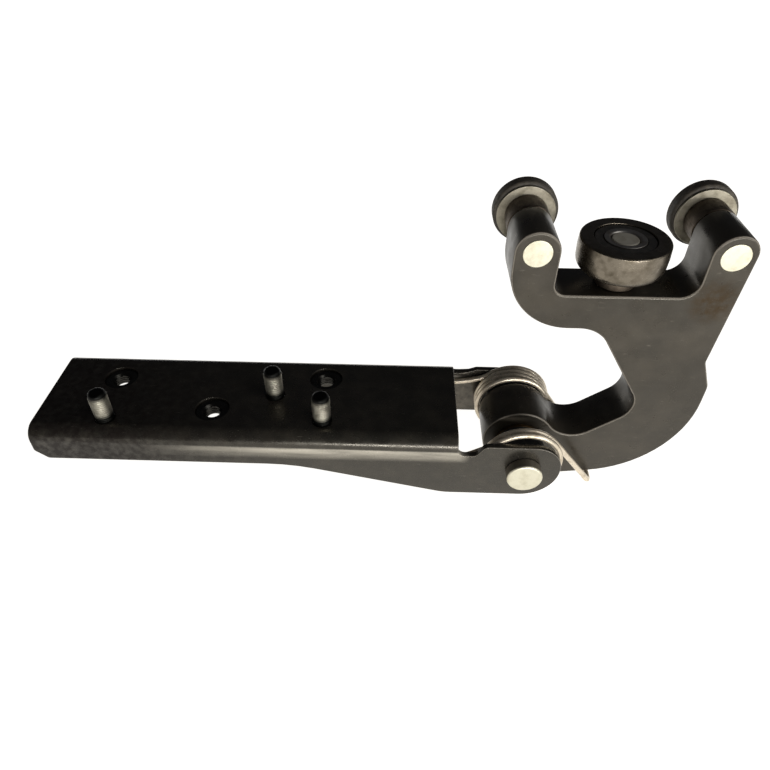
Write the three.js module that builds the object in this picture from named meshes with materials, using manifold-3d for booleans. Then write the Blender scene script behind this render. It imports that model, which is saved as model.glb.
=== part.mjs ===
// Hinged roller carrier for a sliding door.
// A pressed channel bracket carries a thick gooseneck arm on a pin. Two torsion springs sit beside
// the arm's barrel. The arm ends in a yoke: a guide roller on each horn, and a load roller between.
//
// Millimetres. +X runs from the bracket towards the arm, +Y along the hinge pin away from its head,
// +Z out of the mounting face. Everything is drawn about the hinge pin's axis, and the last group
// moves the origin to the middle of the bracket's mounting face.

import * as THREE from 'three';
import { mergeVertices } from 'three/addons/utils/BufferGeometryUtils.js';
import Module from 'manifold-3d';

const wasm = await Module();
wasm.setup();

// ---------------------------------------------------------------- driving dimensions
const GAP = 0.3;                        // clearance between pieces that touch

// torsion springs
const WIRE_RADIUS = 1.25;
const COIL_RADIUS = 16.1;               // to the middle of the wire
const COIL_PITCH = 2 * WIRE_RADIUS + 0.1;
const FRONT_TURNS = 1.25;
const REAR_TURNS = 3.25;
const LEG_LEAVES_COIL = 35;             // degrees above +X where the arm's leg starts
const FRONT_LEG_HEIGHT = 2.5;           // the bracket's legs, above the hinge axis
const REAR_LEG_HEIGHT = 7.2;
const WEB_LEG_REACH = 14;               // how far each goes under the web
const LEG_OFF_ARM = 2.6;                // between the arm's leg and the arm's face
const HOOK_X = 35;                      // where the arm's leg hooks under the arm
const HOOK_DROP = 1.2;                  // between the hook and the arm's lower edge
const HOOK_LENGTH = 9;

// arm
const ARM_THICKNESS = 20.5;
const BARREL_RADIUS = 15.5;
const BARREL_EDGE = 0.5;
const THROAT_FILLET = 12;               // between the barrel and the top of the lower arm
const THROAT = [48.4, 20.1];            // corner between the lower arm and the neck
const THROAT_ROUND = 10;
const LOWER_ARM_SLOPE = 36.6;           // degrees, along its top edge
const YOKE_FLOOR = 75.2;                // floor of the pocket between the horns
const YOKE_UNDERSIDE = 60.3;
const NECK_TOP_X = 22.65;               // where the neck's left side meets the yoke's underside
const NECK_TOP_ROUND = 14;
const YOKE_CORNER_ROUND = 24.5;
const POCKET_LEFT_ROUND = 4.5;
const POCKET_RIGHT_ROUND = 6.5;
const HORN_RADIUS = 8.25;
const LEFT_HORN = [-5.9, 91.9];         // [x, z] of each guide roller's axis
const RIGHT_HORN = [62.6, 91.9];
const WAIST = [67.6, 45.5];             // slight corner on the arm's right side
const WAIST_ROUND = 4;
const BULGE = [72.6, -13.6];            // corner of the big round between side and bottom
const BULGE_TOP = 33;
const BULGE_TOP_ROUND = 8;
const BULGE_ROUND = 44;
const HEEL = [14.5, -21.7];             // lowest corner, below the barrel
const HEEL_ROUND = 5;

// bracket
const SHEET = 2.8;                      // thickness of the pressed sheet
const BEND_RADIUS = 6;                  // outside radius of the two long bends
const BRACKET_LEFT = -207;              // far end of the channel
const WEB_END = -28;                    // straight edge of the web, beside the slot
const WEB_TOP = 15.6;                   // mounting face above the hinge axis
const FRONT_SPARE = 9.15;               // room between the arm and the front spring
const REAR_SPARE = 0.45;
const EAR_RADIUS = 15.6;
const EAR_TOP = 13;
const EAR_TOP_ROUND = 12;
const EAR_START = 11;                   // where the ear's top starts, past the web's end
const FLANGE_LIP = -0.5;                // lower edge of both flanges along the shallow stretch
const END_CHAMFER = [5, 4.5];           // length and height cut off each flange's far corner
const TAPER_START = -98;
const TAPER_START_ROUND = 90;
const TAPER_END = -33;
const TAPER_END_ROUND = 25;
const FRONT_FLANGE_DROP = -15.6;        // lower edge of the front flange beside its ear
const REAR_FLANGE_DROP = -12.7;
const RELIEF_WIDTH = 7.5;               // relief notch at each slot corner
const RELIEF_ROUND = 3;
const FRONT_RELIEF_FLOOR = 7.6;
const REAR_RELIEF_FLOOR = 11.6;

// sizes of the fasteners in the web
const STUD_RADIUS = 3.9;
const STUD_HEIGHT = 14.2;
const STUD_TIP_ROUND = 1.4;
const STUD_HEAD_RADIUS = 4.5;
const STUD_HEAD_THICKNESS = 2.2;
const NUT_BORE_RADIUS = 3.4;
const NUT_SHANK_RADIUS = 7;
const NUT_RECESS = 1;                   // top of the shank below the mounting face
const NUT_CHAMFER = 0.8;
const NUT_FLANGE_RADIUS = 8.6;
const NUT_FLANGE_THICKNESS = 3.2;

// hinge pin and what is on it
const PIN_RADIUS = 5;
const PIN_HEAD_RADIUS = 7.4;
const PIN_HEAD_THICKNESS = 4.7;
const PIN_TAIL = 5.4;                   // length of pin behind the rear ear
const WASHER_RADIUS = 10;
const WASHER_THICKNESS = 2;
const CLIP_RADIUS = 8;
const CLIP_THICKNESS = 1.2;
const CLIP_GROOVE_RADIUS = 4.2;
const SPACER_RADIUS = 10.5;
const BUSH_WALL = 1.4;
const BUSH_LENGTH = 8.5;
const BUSH_FLANGE_RADIUS = 10;
const BUSH_FLANGE_THICKNESS = 1.5;

// guide rollers
const GUIDE_PIN_RADIUS = 5.3;
const GUIDE_COLLAR_RADIUS = 8.3;
const GUIDE_COLLAR_LENGTH = 9.6;
const GUIDE_JOURNAL_RADIUS = 4;
const GUIDE_WASHER_RADIUS = 11.4;
const GUIDE_WASHER_THICKNESS = 1;
const GUIDE_ROLLER_RADIUS = 12.6;
const GUIDE_ROLLER_WIDTH = 6;
const GUIDE_TYRE_WALL = 1.9;
const GUIDE_BALL_RADIUS = 1.7;
const GUIDE_BALL_CIRCLE = 7.4;
const GUIDE_BALL_COUNT = 8;
const GUIDE_CAP_RADIUS = 9;
const GUIDE_CAP_THICKNESS = 0.9;
const GUIDE_RIVET_RADIUS = 5.4;
const GUIDE_RIVET_THICKNESS = 1.2;

// load roller
const LOAD_OFF_MIDDLE = -1.55;          // its upright axis, from midway between the horns
const LOAD_RADIUS = 16.4;
const LOAD_HEIGHT = 12.6;
const LOAD_LOW_ROUND = 2.8;
const LOAD_TOP_BEVEL = 0.8;
const LOAD_LIFT = 5.6;                  // shoulder that holds it off the pocket floor
const LOAD_SHOULDER_RADIUS = 7.6;
const LOAD_PIN_RADIUS = 4.9;
const LOAD_PIN_DEPTH = 12.5;            // how deep the pin is pressed into the yoke
const LOAD_BALL_RADIUS = 2.6;
const LOAD_BALL_CIRCLE = 9.3;
const LOAD_BALL_COUNT = 9;
const LOAD_SEAL_THICKNESS = 0.9;
const LOAD_SEAL_RECESS = 0.5;

// ---------------------------------------------------------------- sizes that follow
const springStack = (turns) => turns * COIL_PITCH + 2 * WIRE_RADIUS + GAP;
const FRONT_EAR_INSIDE = -springStack(FRONT_TURNS) - FRONT_SPARE;
const REAR_EAR_INSIDE = ARM_THICKNESS + springStack(REAR_TURNS) + REAR_SPARE;
const FRONT_FACE = FRONT_EAR_INSIDE - SHEET;
const REAR_FACE = REAR_EAR_INSIDE + SHEET;
const WEB_UNDERSIDE = WEB_TOP - SHEET;
const MOUNT_X = (BRACKET_LEFT + WEB_END) / 2;
const MOUNT_Y = (FRONT_FACE + REAR_FACE) / 2;
const LOAD_AXIS = [(LEFT_HORN[0] + RIGHT_HORN[0]) / 2 + LOAD_OFF_MIDDLE, ARM_THICKNESS / 2];

// fasteners in the web, as [x, y], measured from the far end or the slot and from either face
const STUDS = [
  [BRACKET_LEFT + 30.3, FRONT_FACE + 9.5],
  [WEB_END - 79.4, MOUNT_Y],
  [WEB_END - 57.1, FRONT_FACE + 10.9],
];
const NUTS = [
  [BRACKET_LEFT + 28.2, REAR_FACE - 17.5],
  [WEB_END - 105, FRONT_FACE + 16.5],
  [WEB_END - 58.1, REAR_FACE - 14.9],
];
const ROUND = 20;                       // facets on round pieces
const FINE = 32;

// ---------------------------------------------------------------- finishes
const finish = (color, roughness, metalness) =>
  new THREE.MeshStandardMaterial({ color, roughness, metalness });
const blackPaint = finish(0x17181a, 0.45, 0.2);
const armPaint = finish(0x4a4744, 0.55, 0.3);
const zincSteel = finish(0xb9b6ad, 0.35, 0.9);
const dullSteel = finish(0x6d6a66, 0.45, 0.8);
const springWire = finish(0x9a8a6c, 0.35, 0.9);
const bronze = finish(0x8a6a3c, 0.5, 0.8);
const blackNylon = finish(0x222224, 0.6, 0.0);
const rollerSteel = finish(0x5d5753, 0.35, 0.7);
const sealRubber = finish(0x1a1a1b, 0.8, 0.0);
const collarSteel = finish(0x4d4038, 0.5, 0.6);

// ---------------------------------------------------------------- solids from three.js shapes
// The signed volume of a triangle list is negative when its faces point inwards.
function signedVolume(points, triangles) {
  let sum = 0;
  const a = new THREE.Vector3();
  const b = new THREE.Vector3();
  const c = new THREE.Vector3();
  for (let i = 0; i < triangles.length; i += 3) {
    a.fromArray(points, 3 * triangles[i]);
    b.fromArray(points, 3 * triangles[i + 1]);
    c.fromArray(points, 3 * triangles[i + 2]);
    sum += a.dot(b.cross(c)) / 6;
  }
  return sum;
}

// Weld a geometry, drop its slivers, face it outwards and hand it over as a solid.
function solid(geometry) {
  const plain = geometry.clone();
  plain.deleteAttribute('normal');
  plain.deleteAttribute('uv');
  const welded = mergeVertices(plain, 1e-4);
  const points = new Float32Array(welded.attributes.position.array);
  const index = welded.index.array;
  const triangles = [];
  for (let i = 0; i < index.length; i += 3) {
    const [a, b, c] = [index[i], index[i + 1], index[i + 2]];
    if (a !== b && b !== c && c !== a) triangles.push(a, b, c);
  }
  if (signedVolume(points, triangles) < 0) triangles.reverse();
  const mesh = new wasm.Mesh({
    numProp: 3,
    vertProperties: points,
    triVerts: new Uint32Array(triangles),
  });
  return new wasm.Manifold(mesh);
}

// Turn a solid back into a geometry with flat faces.
function surface(body) {
  const mesh = body.getMesh();
  const indexed = new THREE.BufferGeometry();
  indexed.setAttribute('position', new THREE.BufferAttribute(mesh.vertProperties, 3));
  indexed.setIndex(new THREE.BufferAttribute(mesh.triVerts, 1));
  const flat = indexed.toNonIndexed();
  flat.computeVertexNormals();
  return flat;
}

const joined = (bodies) => bodies.reduce((sum, body) => sum.add(body));
const cutAway = (body, tools) => tools.reduce((rest, tool) => rest.subtract(tool), body);

// Faces that meet exactly can leave a film of no thickness, so keep the real body.
const largest = (body) => body.decompose().reduce((a, b) => (a.volume() > b.volume() ? a : b));

const part = new THREE.Group();
part.position.set(-MOUNT_X, -MOUNT_Y, -WEB_TOP);

function place(name, body, material) {
  const mesh = new THREE.Mesh(surface(body), material);
  mesh.name = name;
  part.add(mesh);
}

// A box between two corners.
function block(low, high) {
  const size = high.map((value, axis) => value - low[axis]);
  const box = new THREE.BoxGeometry(...size);
  box.translate(...low.map((value, axis) => value + size[axis] / 2));
  return solid(box);
}

// Revolve a profile of [radius, height] points. A ring's profile closes on itself.
function turned(profile, segments = ROUND) {
  const points = profile.map(([radius, height]) => new THREE.Vector2(radius, height));
  return new THREE.LatheGeometry(points, segments);
}

// The same, about an axis along Y through [x, z].
function turnedAlongY(profile, [x, z], segments) {
  const shape = turned(profile, segments);
  shape.translate(x, 0, z);
  return solid(shape);
}

// The same, about an upright axis through [x, y].
function turnedUpright(profile, [x, y], segments) {
  const shape = turned(profile, segments);
  shape.rotateX(Math.PI / 2);
  shape.translate(x, y, 0);
  return solid(shape);
}

// A plain ring or sleeve profile between two radii and two heights.
const sleeve = (inner, outer, low, high) =>
  [[inner, low], [outer, low], [outer, high], [inner, high], [inner, low]];

// A full cylinder profile with a small chamfer on each end.
const shaft = (radius, low, high, chamfer = 0.4) => [
  [0, low], [radius - chamfer, low], [radius, low + chamfer],
  [radius, high - chamfer], [radius - chamfer, high], [0, high],
];

// A drill for holes along Y or upright.
const drillY = (radius, centre, low, high) =>
  turnedAlongY([[0, low], [radius, low], [radius, high], [0, high]], centre);
const drillZ = (radius, centre, low, high) =>
  turnedUpright([[0, low], [radius, low], [radius, high], [0, high]], centre);

// Points along the shorter arc between two points on a circle.
const ARC_STEP = THREE.MathUtils.degToRad(12);
function arcPoints(centre, radius, start, end) {
  const from = Math.atan2(start.y - centre.y, start.x - centre.x);
  const to = Math.atan2(end.y - centre.y, end.x - centre.x);
  const whole = THREE.MathUtils.euclideanModulo(to - from, 2 * Math.PI);
  const sweep = whole > Math.PI ? whole - 2 * Math.PI : whole;
  const steps = Math.max(2, Math.round(Math.abs(sweep) / ARC_STEP));
  return Array.from({ length: steps + 1 }, (_, i) => {
    const angle = from + (sweep * i) / steps;
    return new THREE.Vector2(
      centre.x + radius * Math.cos(angle),
      centre.y + radius * Math.sin(angle),
    );
  });
}

// A shape through points, leaving out any that repeat the one before.
function outlineThrough(points) {
  const apart = points.filter((point, i) => point.distanceTo(points.at(i - 1)) > 1e-4);
  return new THREE.Shape(apart);
}

// A closed outline through corners [x, y, radius], each rounded by its own tangent arc.
function roundedOutline(corners) {
  const points = corners.flatMap(([x, y, radius], i) => {
    const corner = new THREE.Vector2(x, y);
    if (radius === 0) return [corner];
    const before = new THREE.Vector2(...corners.at(i - 1)).sub(corner).normalize();
    const after = new THREE.Vector2(...corners[(i + 1) % corners.length]).sub(corner).normalize();
    const half = Math.acos(THREE.MathUtils.clamp(before.dot(after), -1, 1)) / 2;
    const reach = radius / Math.tan(half);
    const bisector = before.clone().add(after).normalize();
    const centre = corner.clone().addScaledVector(bisector, radius / Math.sin(half));
    const start = corner.clone().addScaledVector(before, reach);
    const end = corner.clone().addScaledVector(after, reach);
    return arcPoints(centre, radius, start, end);
  });
  return outlineThrough(points);
}

// A plate whose outline lies in X and Z, between two places along Y.
function plate(outline, low, high) {
  const slab = new THREE.ExtrudeGeometry(outline, { depth: high - low, bevelEnabled: false });
  slab.rotateX(Math.PI / 2);
  slab.translate(0, high, 0);
  return solid(slab);
}

// ---------------------------------------------------------------- bracket
const BEYOND = 5;                       // how far cutting shapes reach past what they cut
const EAR_LAP = 5;                      // how far an ear's plate runs back into its flange
const MIDDLE_LAP = 5;                   // how far the side views of the two flanges overlap

// The channel's section in Y and Z: a web between two flanges, with round bends.
function channelSection() {
  const depth = -EAR_RADIUS - BEYOND;
  const inner = BEND_RADIUS - SHEET;
  return roundedOutline([
    [FRONT_FACE, depth, 0],
    [FRONT_FACE, WEB_TOP, BEND_RADIUS],
    [REAR_FACE, WEB_TOP, BEND_RADIUS],
    [REAR_FACE, depth, 0],
    [REAR_EAR_INSIDE, depth, 0],
    [REAR_EAR_INSIDE, WEB_UNDERSIDE, inner],
    [FRONT_EAR_INSIDE, WEB_UNDERSIDE, inner],
    [FRONT_EAR_INSIDE, depth, 0],
  ]);
}

// The side view of one flange with its ear; drop is how low it hangs beside the ear.
function flangeOutline(drop, reliefFloor) {
  const earRound = Math.min(EAR_RADIUS, -drop);
  const reliefRound = Math.min(RELIEF_ROUND, EAR_TOP - reliefFloor);
  const [chamferLength, chamferHeight] = END_CHAMFER;
  return roundedOutline([
    [BRACKET_LEFT, WEB_TOP + BEYOND, 0],
    [BRACKET_LEFT, FLANGE_LIP + chamferHeight, 2],
    [BRACKET_LEFT + chamferLength, FLANGE_LIP, 2],
    [TAPER_START, FLANGE_LIP, TAPER_START_ROUND],
    [TAPER_END, drop, TAPER_END_ROUND],
    [EAR_RADIUS, drop, earRound],
    [EAR_RADIUS, EAR_TOP, EAR_TOP_ROUND],
    [WEB_END + EAR_START, EAR_TOP, reliefRound],
    [WEB_END + RELIEF_WIDTH, reliefFloor, reliefRound],
    [WEB_END, reliefFloor, reliefRound],
    [WEB_END, WEB_TOP + BEYOND, 0],
  ]);
}

function bracketChannel() {
  const section = new THREE.ExtrudeGeometry(channelSection(), {
    depth: WEB_END - BRACKET_LEFT,
    bevelEnabled: false,
  });
  // the section's own X and Y become the part's Y and Z, and its depth becomes X
  section.applyMatrix4(new THREE.Matrix4().makeBasis(
    new THREE.Vector3(0, 1, 0), new THREE.Vector3(0, 0, 1), new THREE.Vector3(1, 0, 0),
  ));
  section.translate(BRACKET_LEFT, 0, 0);
  const front = flangeOutline(FRONT_FLANGE_DROP, FRONT_RELIEF_FLOOR);
  const rear = flangeOutline(REAR_FLANGE_DROP, REAR_RELIEF_FLOOR);
  // the two side views overlap along the middle of the web, where they are alike
  const sides = joined([
    plate(front, FRONT_FACE - BEYOND, MOUNT_Y + MIDDLE_LAP),
    plate(rear, MOUNT_Y - MIDDLE_LAP, REAR_FACE + BEYOND),
  ]);
  const channel = solid(section).intersect(sides);
  // beyond the web only the flat flanges go on, as ears; low down they run back into the flanges
  const beyond = joined([
    block(
      [WEB_END, FRONT_FACE - BEYOND, -EAR_RADIUS - BEYOND],
      [EAR_RADIUS + BEYOND, REAR_FACE + BEYOND, WEB_TOP + BEYOND],
    ),
    block(
      [WEB_END - EAR_LAP, FRONT_FACE - BEYOND, -EAR_RADIUS - BEYOND],
      [EAR_RADIUS + BEYOND, REAR_FACE + BEYOND, FRONT_RELIEF_FLOOR],
    ),
  ]);
  const frontEar = plate(front, FRONT_FACE, FRONT_EAR_INSIDE).intersect(beyond);
  const rearEar = plate(rear, REAR_EAR_INSIDE, REAR_FACE).intersect(beyond);
  const pinHole = drillY(PIN_RADIUS + GAP, [0, 0], FRONT_FACE - BEYOND, REAR_FACE + BEYOND);
  const studHoles = STUDS.map((at) =>
    drillZ(STUD_RADIUS + GAP, at, WEB_UNDERSIDE - BEYOND, WEB_TOP + BEYOND));
  const nutHoles = NUTS.map((at) =>
    drillZ(NUT_SHANK_RADIUS + GAP, at, WEB_UNDERSIDE - BEYOND, WEB_TOP + BEYOND));
  const blank = largest(joined([channel, frontEar, rearEar]));
  return cutAway(blank, [pinHole, ...studHoles, ...nutHoles]);
}

// A stud pressed in from below: a flat head under the web and a shank with a rounded tip above.
function mountingStud(at) {
  const headTop = WEB_UNDERSIDE - GAP;
  const headLow = headTop - STUD_HEAD_THICKNESS;
  const tip = WEB_TOP + STUD_HEIGHT;
  const round = STUD_TIP_ROUND;
  return turnedUpright([
    [0, headLow], [STUD_HEAD_RADIUS, headLow], [STUD_HEAD_RADIUS, headTop],
    [STUD_RADIUS, headTop], [STUD_RADIUS, tip - round],
    [STUD_RADIUS - 0.4 * round, tip - 0.4 * round], [STUD_RADIUS - round, tip], [0, tip],
  ], at, 24);
}

// A clinch nut: a threaded shank set a little below the mounting face, and a flange below.
function clinchNut(at) {
  const flangeTop = WEB_UNDERSIDE - GAP;
  const flangeLow = flangeTop - NUT_FLANGE_THICKNESS;
  const top = WEB_TOP - NUT_RECESS;
  return turnedUpright([
    [NUT_BORE_RADIUS, flangeLow], [NUT_FLANGE_RADIUS, flangeLow], [NUT_FLANGE_RADIUS, flangeTop],
    [NUT_SHANK_RADIUS, flangeTop], [NUT_SHANK_RADIUS, top],
    [NUT_BORE_RADIUS + NUT_CHAMFER, top], [NUT_BORE_RADIUS, top - NUT_CHAMFER],
    [NUT_BORE_RADIUS, flangeLow],
  ], at, 24);
}

// ---------------------------------------------------------------- hinge pin and its fittings
const CLIP_PLACE = REAR_FACE + WASHER_THICKNESS + 2 * GAP;

function hingePin() {
  const headBack = FRONT_FACE - GAP;
  const headFront = headBack - PIN_HEAD_THICKNESS;
  const tail = REAR_FACE + PIN_TAIL;
  const edge = 0.6;
  return turnedAlongY([
    [0, headFront], [PIN_HEAD_RADIUS - edge, headFront], [PIN_HEAD_RADIUS, headFront + edge],
    [PIN_HEAD_RADIUS, headBack], [PIN_RADIUS, headBack],
    [PIN_RADIUS, CLIP_PLACE - GAP], [CLIP_GROOVE_RADIUS - GAP, CLIP_PLACE - GAP],
    [CLIP_GROOVE_RADIUS - GAP, CLIP_PLACE + CLIP_THICKNESS + GAP],
    [PIN_RADIUS, CLIP_PLACE + CLIP_THICKNESS + GAP],
    [PIN_RADIUS, tail - edge], [PIN_RADIUS - edge, tail], [0, tail],
  ], [0, 0]);
}

const pinWasher = () => turnedAlongY(
  sleeve(PIN_RADIUS + GAP, WASHER_RADIUS, REAR_FACE + GAP, REAR_FACE + GAP + WASHER_THICKNESS),
  [0, 0],
);

// The retaining clip is a ring with a mouth cut in its lower side.
function retainingClip() {
  const ring = turnedAlongY(
    sleeve(CLIP_GROOVE_RADIUS, CLIP_RADIUS, CLIP_PLACE, CLIP_PLACE + CLIP_THICKNESS), [0, 0],
  );
  const mouth = block(
    [-CLIP_GROOVE_RADIUS * 0.8, CLIP_PLACE - 1, -CLIP_RADIUS - 1],
    [CLIP_GROOVE_RADIUS * 0.8, CLIP_PLACE + CLIP_THICKNESS + 1, 0],
  );
  return ring.subtract(mouth);
}

const BUSH_OUTER = PIN_RADIUS + GAP + BUSH_WALL;
const FLANGE_STACK = BUSH_FLANGE_THICKNESS + 2 * GAP;

// A flanged bush: facing is the arm's face, and inward is +1 or -1 into the barrel.
function pivotBush(facing, inward) {
  const outside = facing - inward * (GAP + BUSH_FLANGE_THICKNESS);
  const face = facing - inward * GAP;
  const deep = facing + inward * BUSH_LENGTH;
  const bore = PIN_RADIUS + GAP;
  return turnedAlongY([
    [bore, outside], [BUSH_FLANGE_RADIUS, outside], [BUSH_FLANGE_RADIUS, face],
    [BUSH_OUTER, face], [BUSH_OUTER, deep], [bore, deep], [bore, outside],
  ], [0, 0]);
}

const springSpacer = (low, high) =>
  turnedAlongY(sleeve(PIN_RADIUS + GAP, SPACER_RADIUS, low, high), [0, 0]);

// ---------------------------------------------------------------- torsion springs
const onCoil = (degrees, y) => new THREE.Vector3(
  COIL_RADIUS * Math.cos(THREE.MathUtils.degToRad(degrees)),
  y,
  COIL_RADIUS * Math.sin(THREE.MathUtils.degToRad(degrees)),
);

// Height of the arm's lower edge.
const armUnderside = (x) =>
  HEEL[1] + ((x - HEEL[0]) * (BULGE[1] - HEEL[1])) / (BULGE[0] - HEEL[0]);

// The wire starts as a hook under the arm, climbs beside the arm's face, winds towards the ear
// and ends in a leg under the web. away is -1 for the front spring and +1 for the rear one.
const SPRING_STEP = 15;                 // degrees between points along the coil
function torsionSpring(face, earInside, turns, away, legHeight) {
  const lastTurn = earInside - away * (WIRE_RADIUS + GAP);
  const firstTurn = lastTurn - away * COIL_PITCH * turns;
  const leave = LEG_LEAVES_COIL;
  const slope = THREE.MathUtils.degToRad(leave);
  const start = onCoil(leave, firstTurn);
  const down = new THREE.Vector3(Math.sin(slope), 0, -Math.cos(slope));
  const hookHeight = armUnderside(HOOK_X) - WIRE_RADIUS - HOOK_DROP;
  const legLength = (start.z - hookHeight) / Math.cos(slope);
  const beside = face + away * (WIRE_RADIUS + LEG_OFF_ARM);
  const along = (share) => start.clone().addScaledVector(down, legLength * share)
    .setY(firstTurn + (beside - firstTurn) * share);
  const hook = along(1);
  const points = [
    hook.clone().setY(face - away * HOOK_LENGTH),
    hook.clone().setY(face - away * (HOOK_LENGTH / 3)),
    hook.clone().setY(face + away * WIRE_RADIUS),
    ...[0.96, 0.8, 0.55, 0.28].map(along),
  ];
  const sweep = 360 * turns;
  for (let angle = 0; angle <= sweep; angle += SPRING_STEP) {
    points.push(onCoil(leave + angle, firstTurn + (away * COIL_PITCH * angle) / 360));
  }
  // the coil's end runs on straight, and then bends level under the web
  const last = THREE.MathUtils.degToRad(leave + sweep);
  const coilEnd = onCoil(leave + sweep, lastTurn);
  const onwards = new THREE.Vector3(-Math.sin(last), 0, Math.cos(last));
  const fall = (coilEnd.z - legHeight) / -onwards.z;
  points.push(coilEnd.clone().addScaledVector(onwards, fall * 0.55));
  const levelFrom = Math.min(coilEnd.x + onwards.x * fall, WEB_END + 6) - 3;
  points.push(new THREE.Vector3(levelFrom, lastTurn, legHeight));
  points.push(new THREE.Vector3(WEB_END - WEB_LEG_REACH / 2, lastTurn, legHeight));
  points.push(new THREE.Vector3(WEB_END - WEB_LEG_REACH, lastTurn, legHeight));
  const section = new THREE.Shape();
  section.absarc(0, 0, WIRE_RADIUS, 0, 2 * Math.PI, false);
  const wire = new THREE.ExtrudeGeometry(section, {
    steps: Math.round(20 * turns) + 24,
    curveSegments: 4,
    bevelEnabled: false,
    extrudePath: new THREE.CatmullRomCurve3(points, false, 'centripetal'),
  });
  return solid(wire);
}

// ---------------------------------------------------------------- arm
// The lower arm's top edge is a straight line from the barrel to the throat.
const SLOPE = THREE.MathUtils.degToRad(LOWER_ARM_SLOPE);
const alongLowerArm = new THREE.Vector2(Math.cos(SLOPE), Math.sin(SLOPE));
const aboveLowerArm = new THREE.Vector2(-Math.sin(SLOPE), Math.cos(SLOPE));

// A point inside the barrel, on the lower arm's top edge carried on.
const lowerArmRoot = () => new THREE.Vector2(...THROAT)
  .addScaledVector(alongLowerArm, BARREL_RADIUS / 2 - Math.hypot(...THROAT) + 5);

// The gooseneck's outline in X and Z, from the barrel round the yoke and back along the bottom.
function armOutline() {
  const [leftX, leftZ] = LEFT_HORN;
  const [rightX, rightZ] = RIGHT_HORN;
  const heelToCentre = Math.hypot(...HEEL);
  const tangent = Math.atan2(HEEL[1], HEEL[0]) - Math.acos(BARREL_RADIUS / heelToCentre);
  return roundedOutline([
    [THROAT[0], THROAT[1], THROAT_ROUND],
    [NECK_TOP_X, YOKE_UNDERSIDE, NECK_TOP_ROUND],
    [leftX - HORN_RADIUS, YOKE_UNDERSIDE, YOKE_CORNER_ROUND],
    [leftX - HORN_RADIUS, leftZ + HORN_RADIUS, HORN_RADIUS],
    [leftX + HORN_RADIUS, leftZ + HORN_RADIUS, HORN_RADIUS],
    [leftX + HORN_RADIUS, YOKE_FLOOR, POCKET_LEFT_ROUND],
    [rightX - HORN_RADIUS, YOKE_FLOOR, POCKET_RIGHT_ROUND],
    [rightX - HORN_RADIUS, rightZ + HORN_RADIUS, HORN_RADIUS],
    [rightX + HORN_RADIUS, rightZ + HORN_RADIUS, 0.93 * HORN_RADIUS],
    [...WAIST, WAIST_ROUND],
    [BULGE[0], BULGE_TOP, BULGE_TOP_ROUND],
    [...BULGE, BULGE_ROUND],
    [...HEEL, HEEL_ROUND],
    [BARREL_RADIUS * Math.cos(tangent), BARREL_RADIUS * Math.sin(tangent), 0],
    [-2, 0, 0],
    [lowerArmRoot().x, lowerArmRoot().y, 0],
  ]);
}

// The concave fillet between the barrel and the lower arm's top edge.
function throatGusset() {
  const base = new THREE.Vector2(...THROAT).addScaledVector(aboveLowerArm, THROAT_FILLET);
  const reach = BARREL_RADIUS + THROAT_FILLET;
  const middle = -base.dot(alongLowerArm);
  const half = Math.sqrt(middle * middle - base.lengthSq() + reach * reach);
  const centre = base.clone().addScaledVector(alongLowerArm, middle + half);
  const onLine = centre.clone().addScaledVector(aboveLowerArm, -THROAT_FILLET);
  const onBarrel = centre.clone().multiplyScalar(BARREL_RADIUS / reach);
  return outlineThrough([
    new THREE.Vector2(0, 0),
    lowerArmRoot().addScaledVector(aboveLowerArm, -1),
    ...arcPoints(centre, THROAT_FILLET, onLine, onBarrel),
  ]);
}

function rollerArm() {
  const body = joined([
    plate(armOutline(), 0, ARM_THICKNESS),
    plate(throatGusset(), 0, ARM_THICKNESS),
    turnedAlongY(shaft(BARREL_RADIUS, 0, ARM_THICKNESS, BARREL_EDGE), [0, 0], FINE),
  ]);
  return cutAway(body, [
    drillY(BUSH_OUTER + GAP, [0, 0], -1, ARM_THICKNESS + 1),
    drillY(GUIDE_PIN_RADIUS + GAP, LEFT_HORN, -1, ARM_THICKNESS + 1),
    drillY(GUIDE_PIN_RADIUS + GAP, RIGHT_HORN, -1, ARM_THICKNESS + 1),
    drillZ(LOAD_PIN_RADIUS + GAP, LOAD_AXIS, YOKE_FLOOR - LOAD_PIN_DEPTH - GAP, YOKE_FLOOR + 1),
  ]);
}

// ---------------------------------------------------------------- bearings
// A groove of the given radius, as profile points, around a ball circle. side is +1 for the
// groove in an outer ring and -1 for the one in an inner ring.
function groove(circle, ballRadius, middle, edge, side) {
  const radius = ballRadius + GAP;
  const spread = Math.acos((Math.abs(edge - circle)) / radius);
  const points = [];
  const steps = 4;
  for (let i = 0; i <= steps; i += 1) {
    const angle = spread * (1 - (2 * i) / steps);
    points.push([circle + side * radius * Math.cos(angle), middle - radius * Math.sin(angle)]);
  }
  return points;
}

// Balls held by a plain ring through their middles.
function ballCage(circle, ballRadius, count, turn) {
  const thick = ballRadius * 0.35;
  const profile = sleeve(circle - thick, circle + thick, -thick, thick);
  const pieces = [solid(turned(profile))];
  for (let i = 0; i < count; i += 1) {
    const ball = new THREE.IcosahedronGeometry(ballRadius, 0);
    const angle = (2 * Math.PI * i) / count;
    ball.translate(circle * Math.cos(angle), 0, circle * Math.sin(angle));
    pieces.push(solid(ball));
  }
  return turn(joined(pieces));
}

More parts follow.
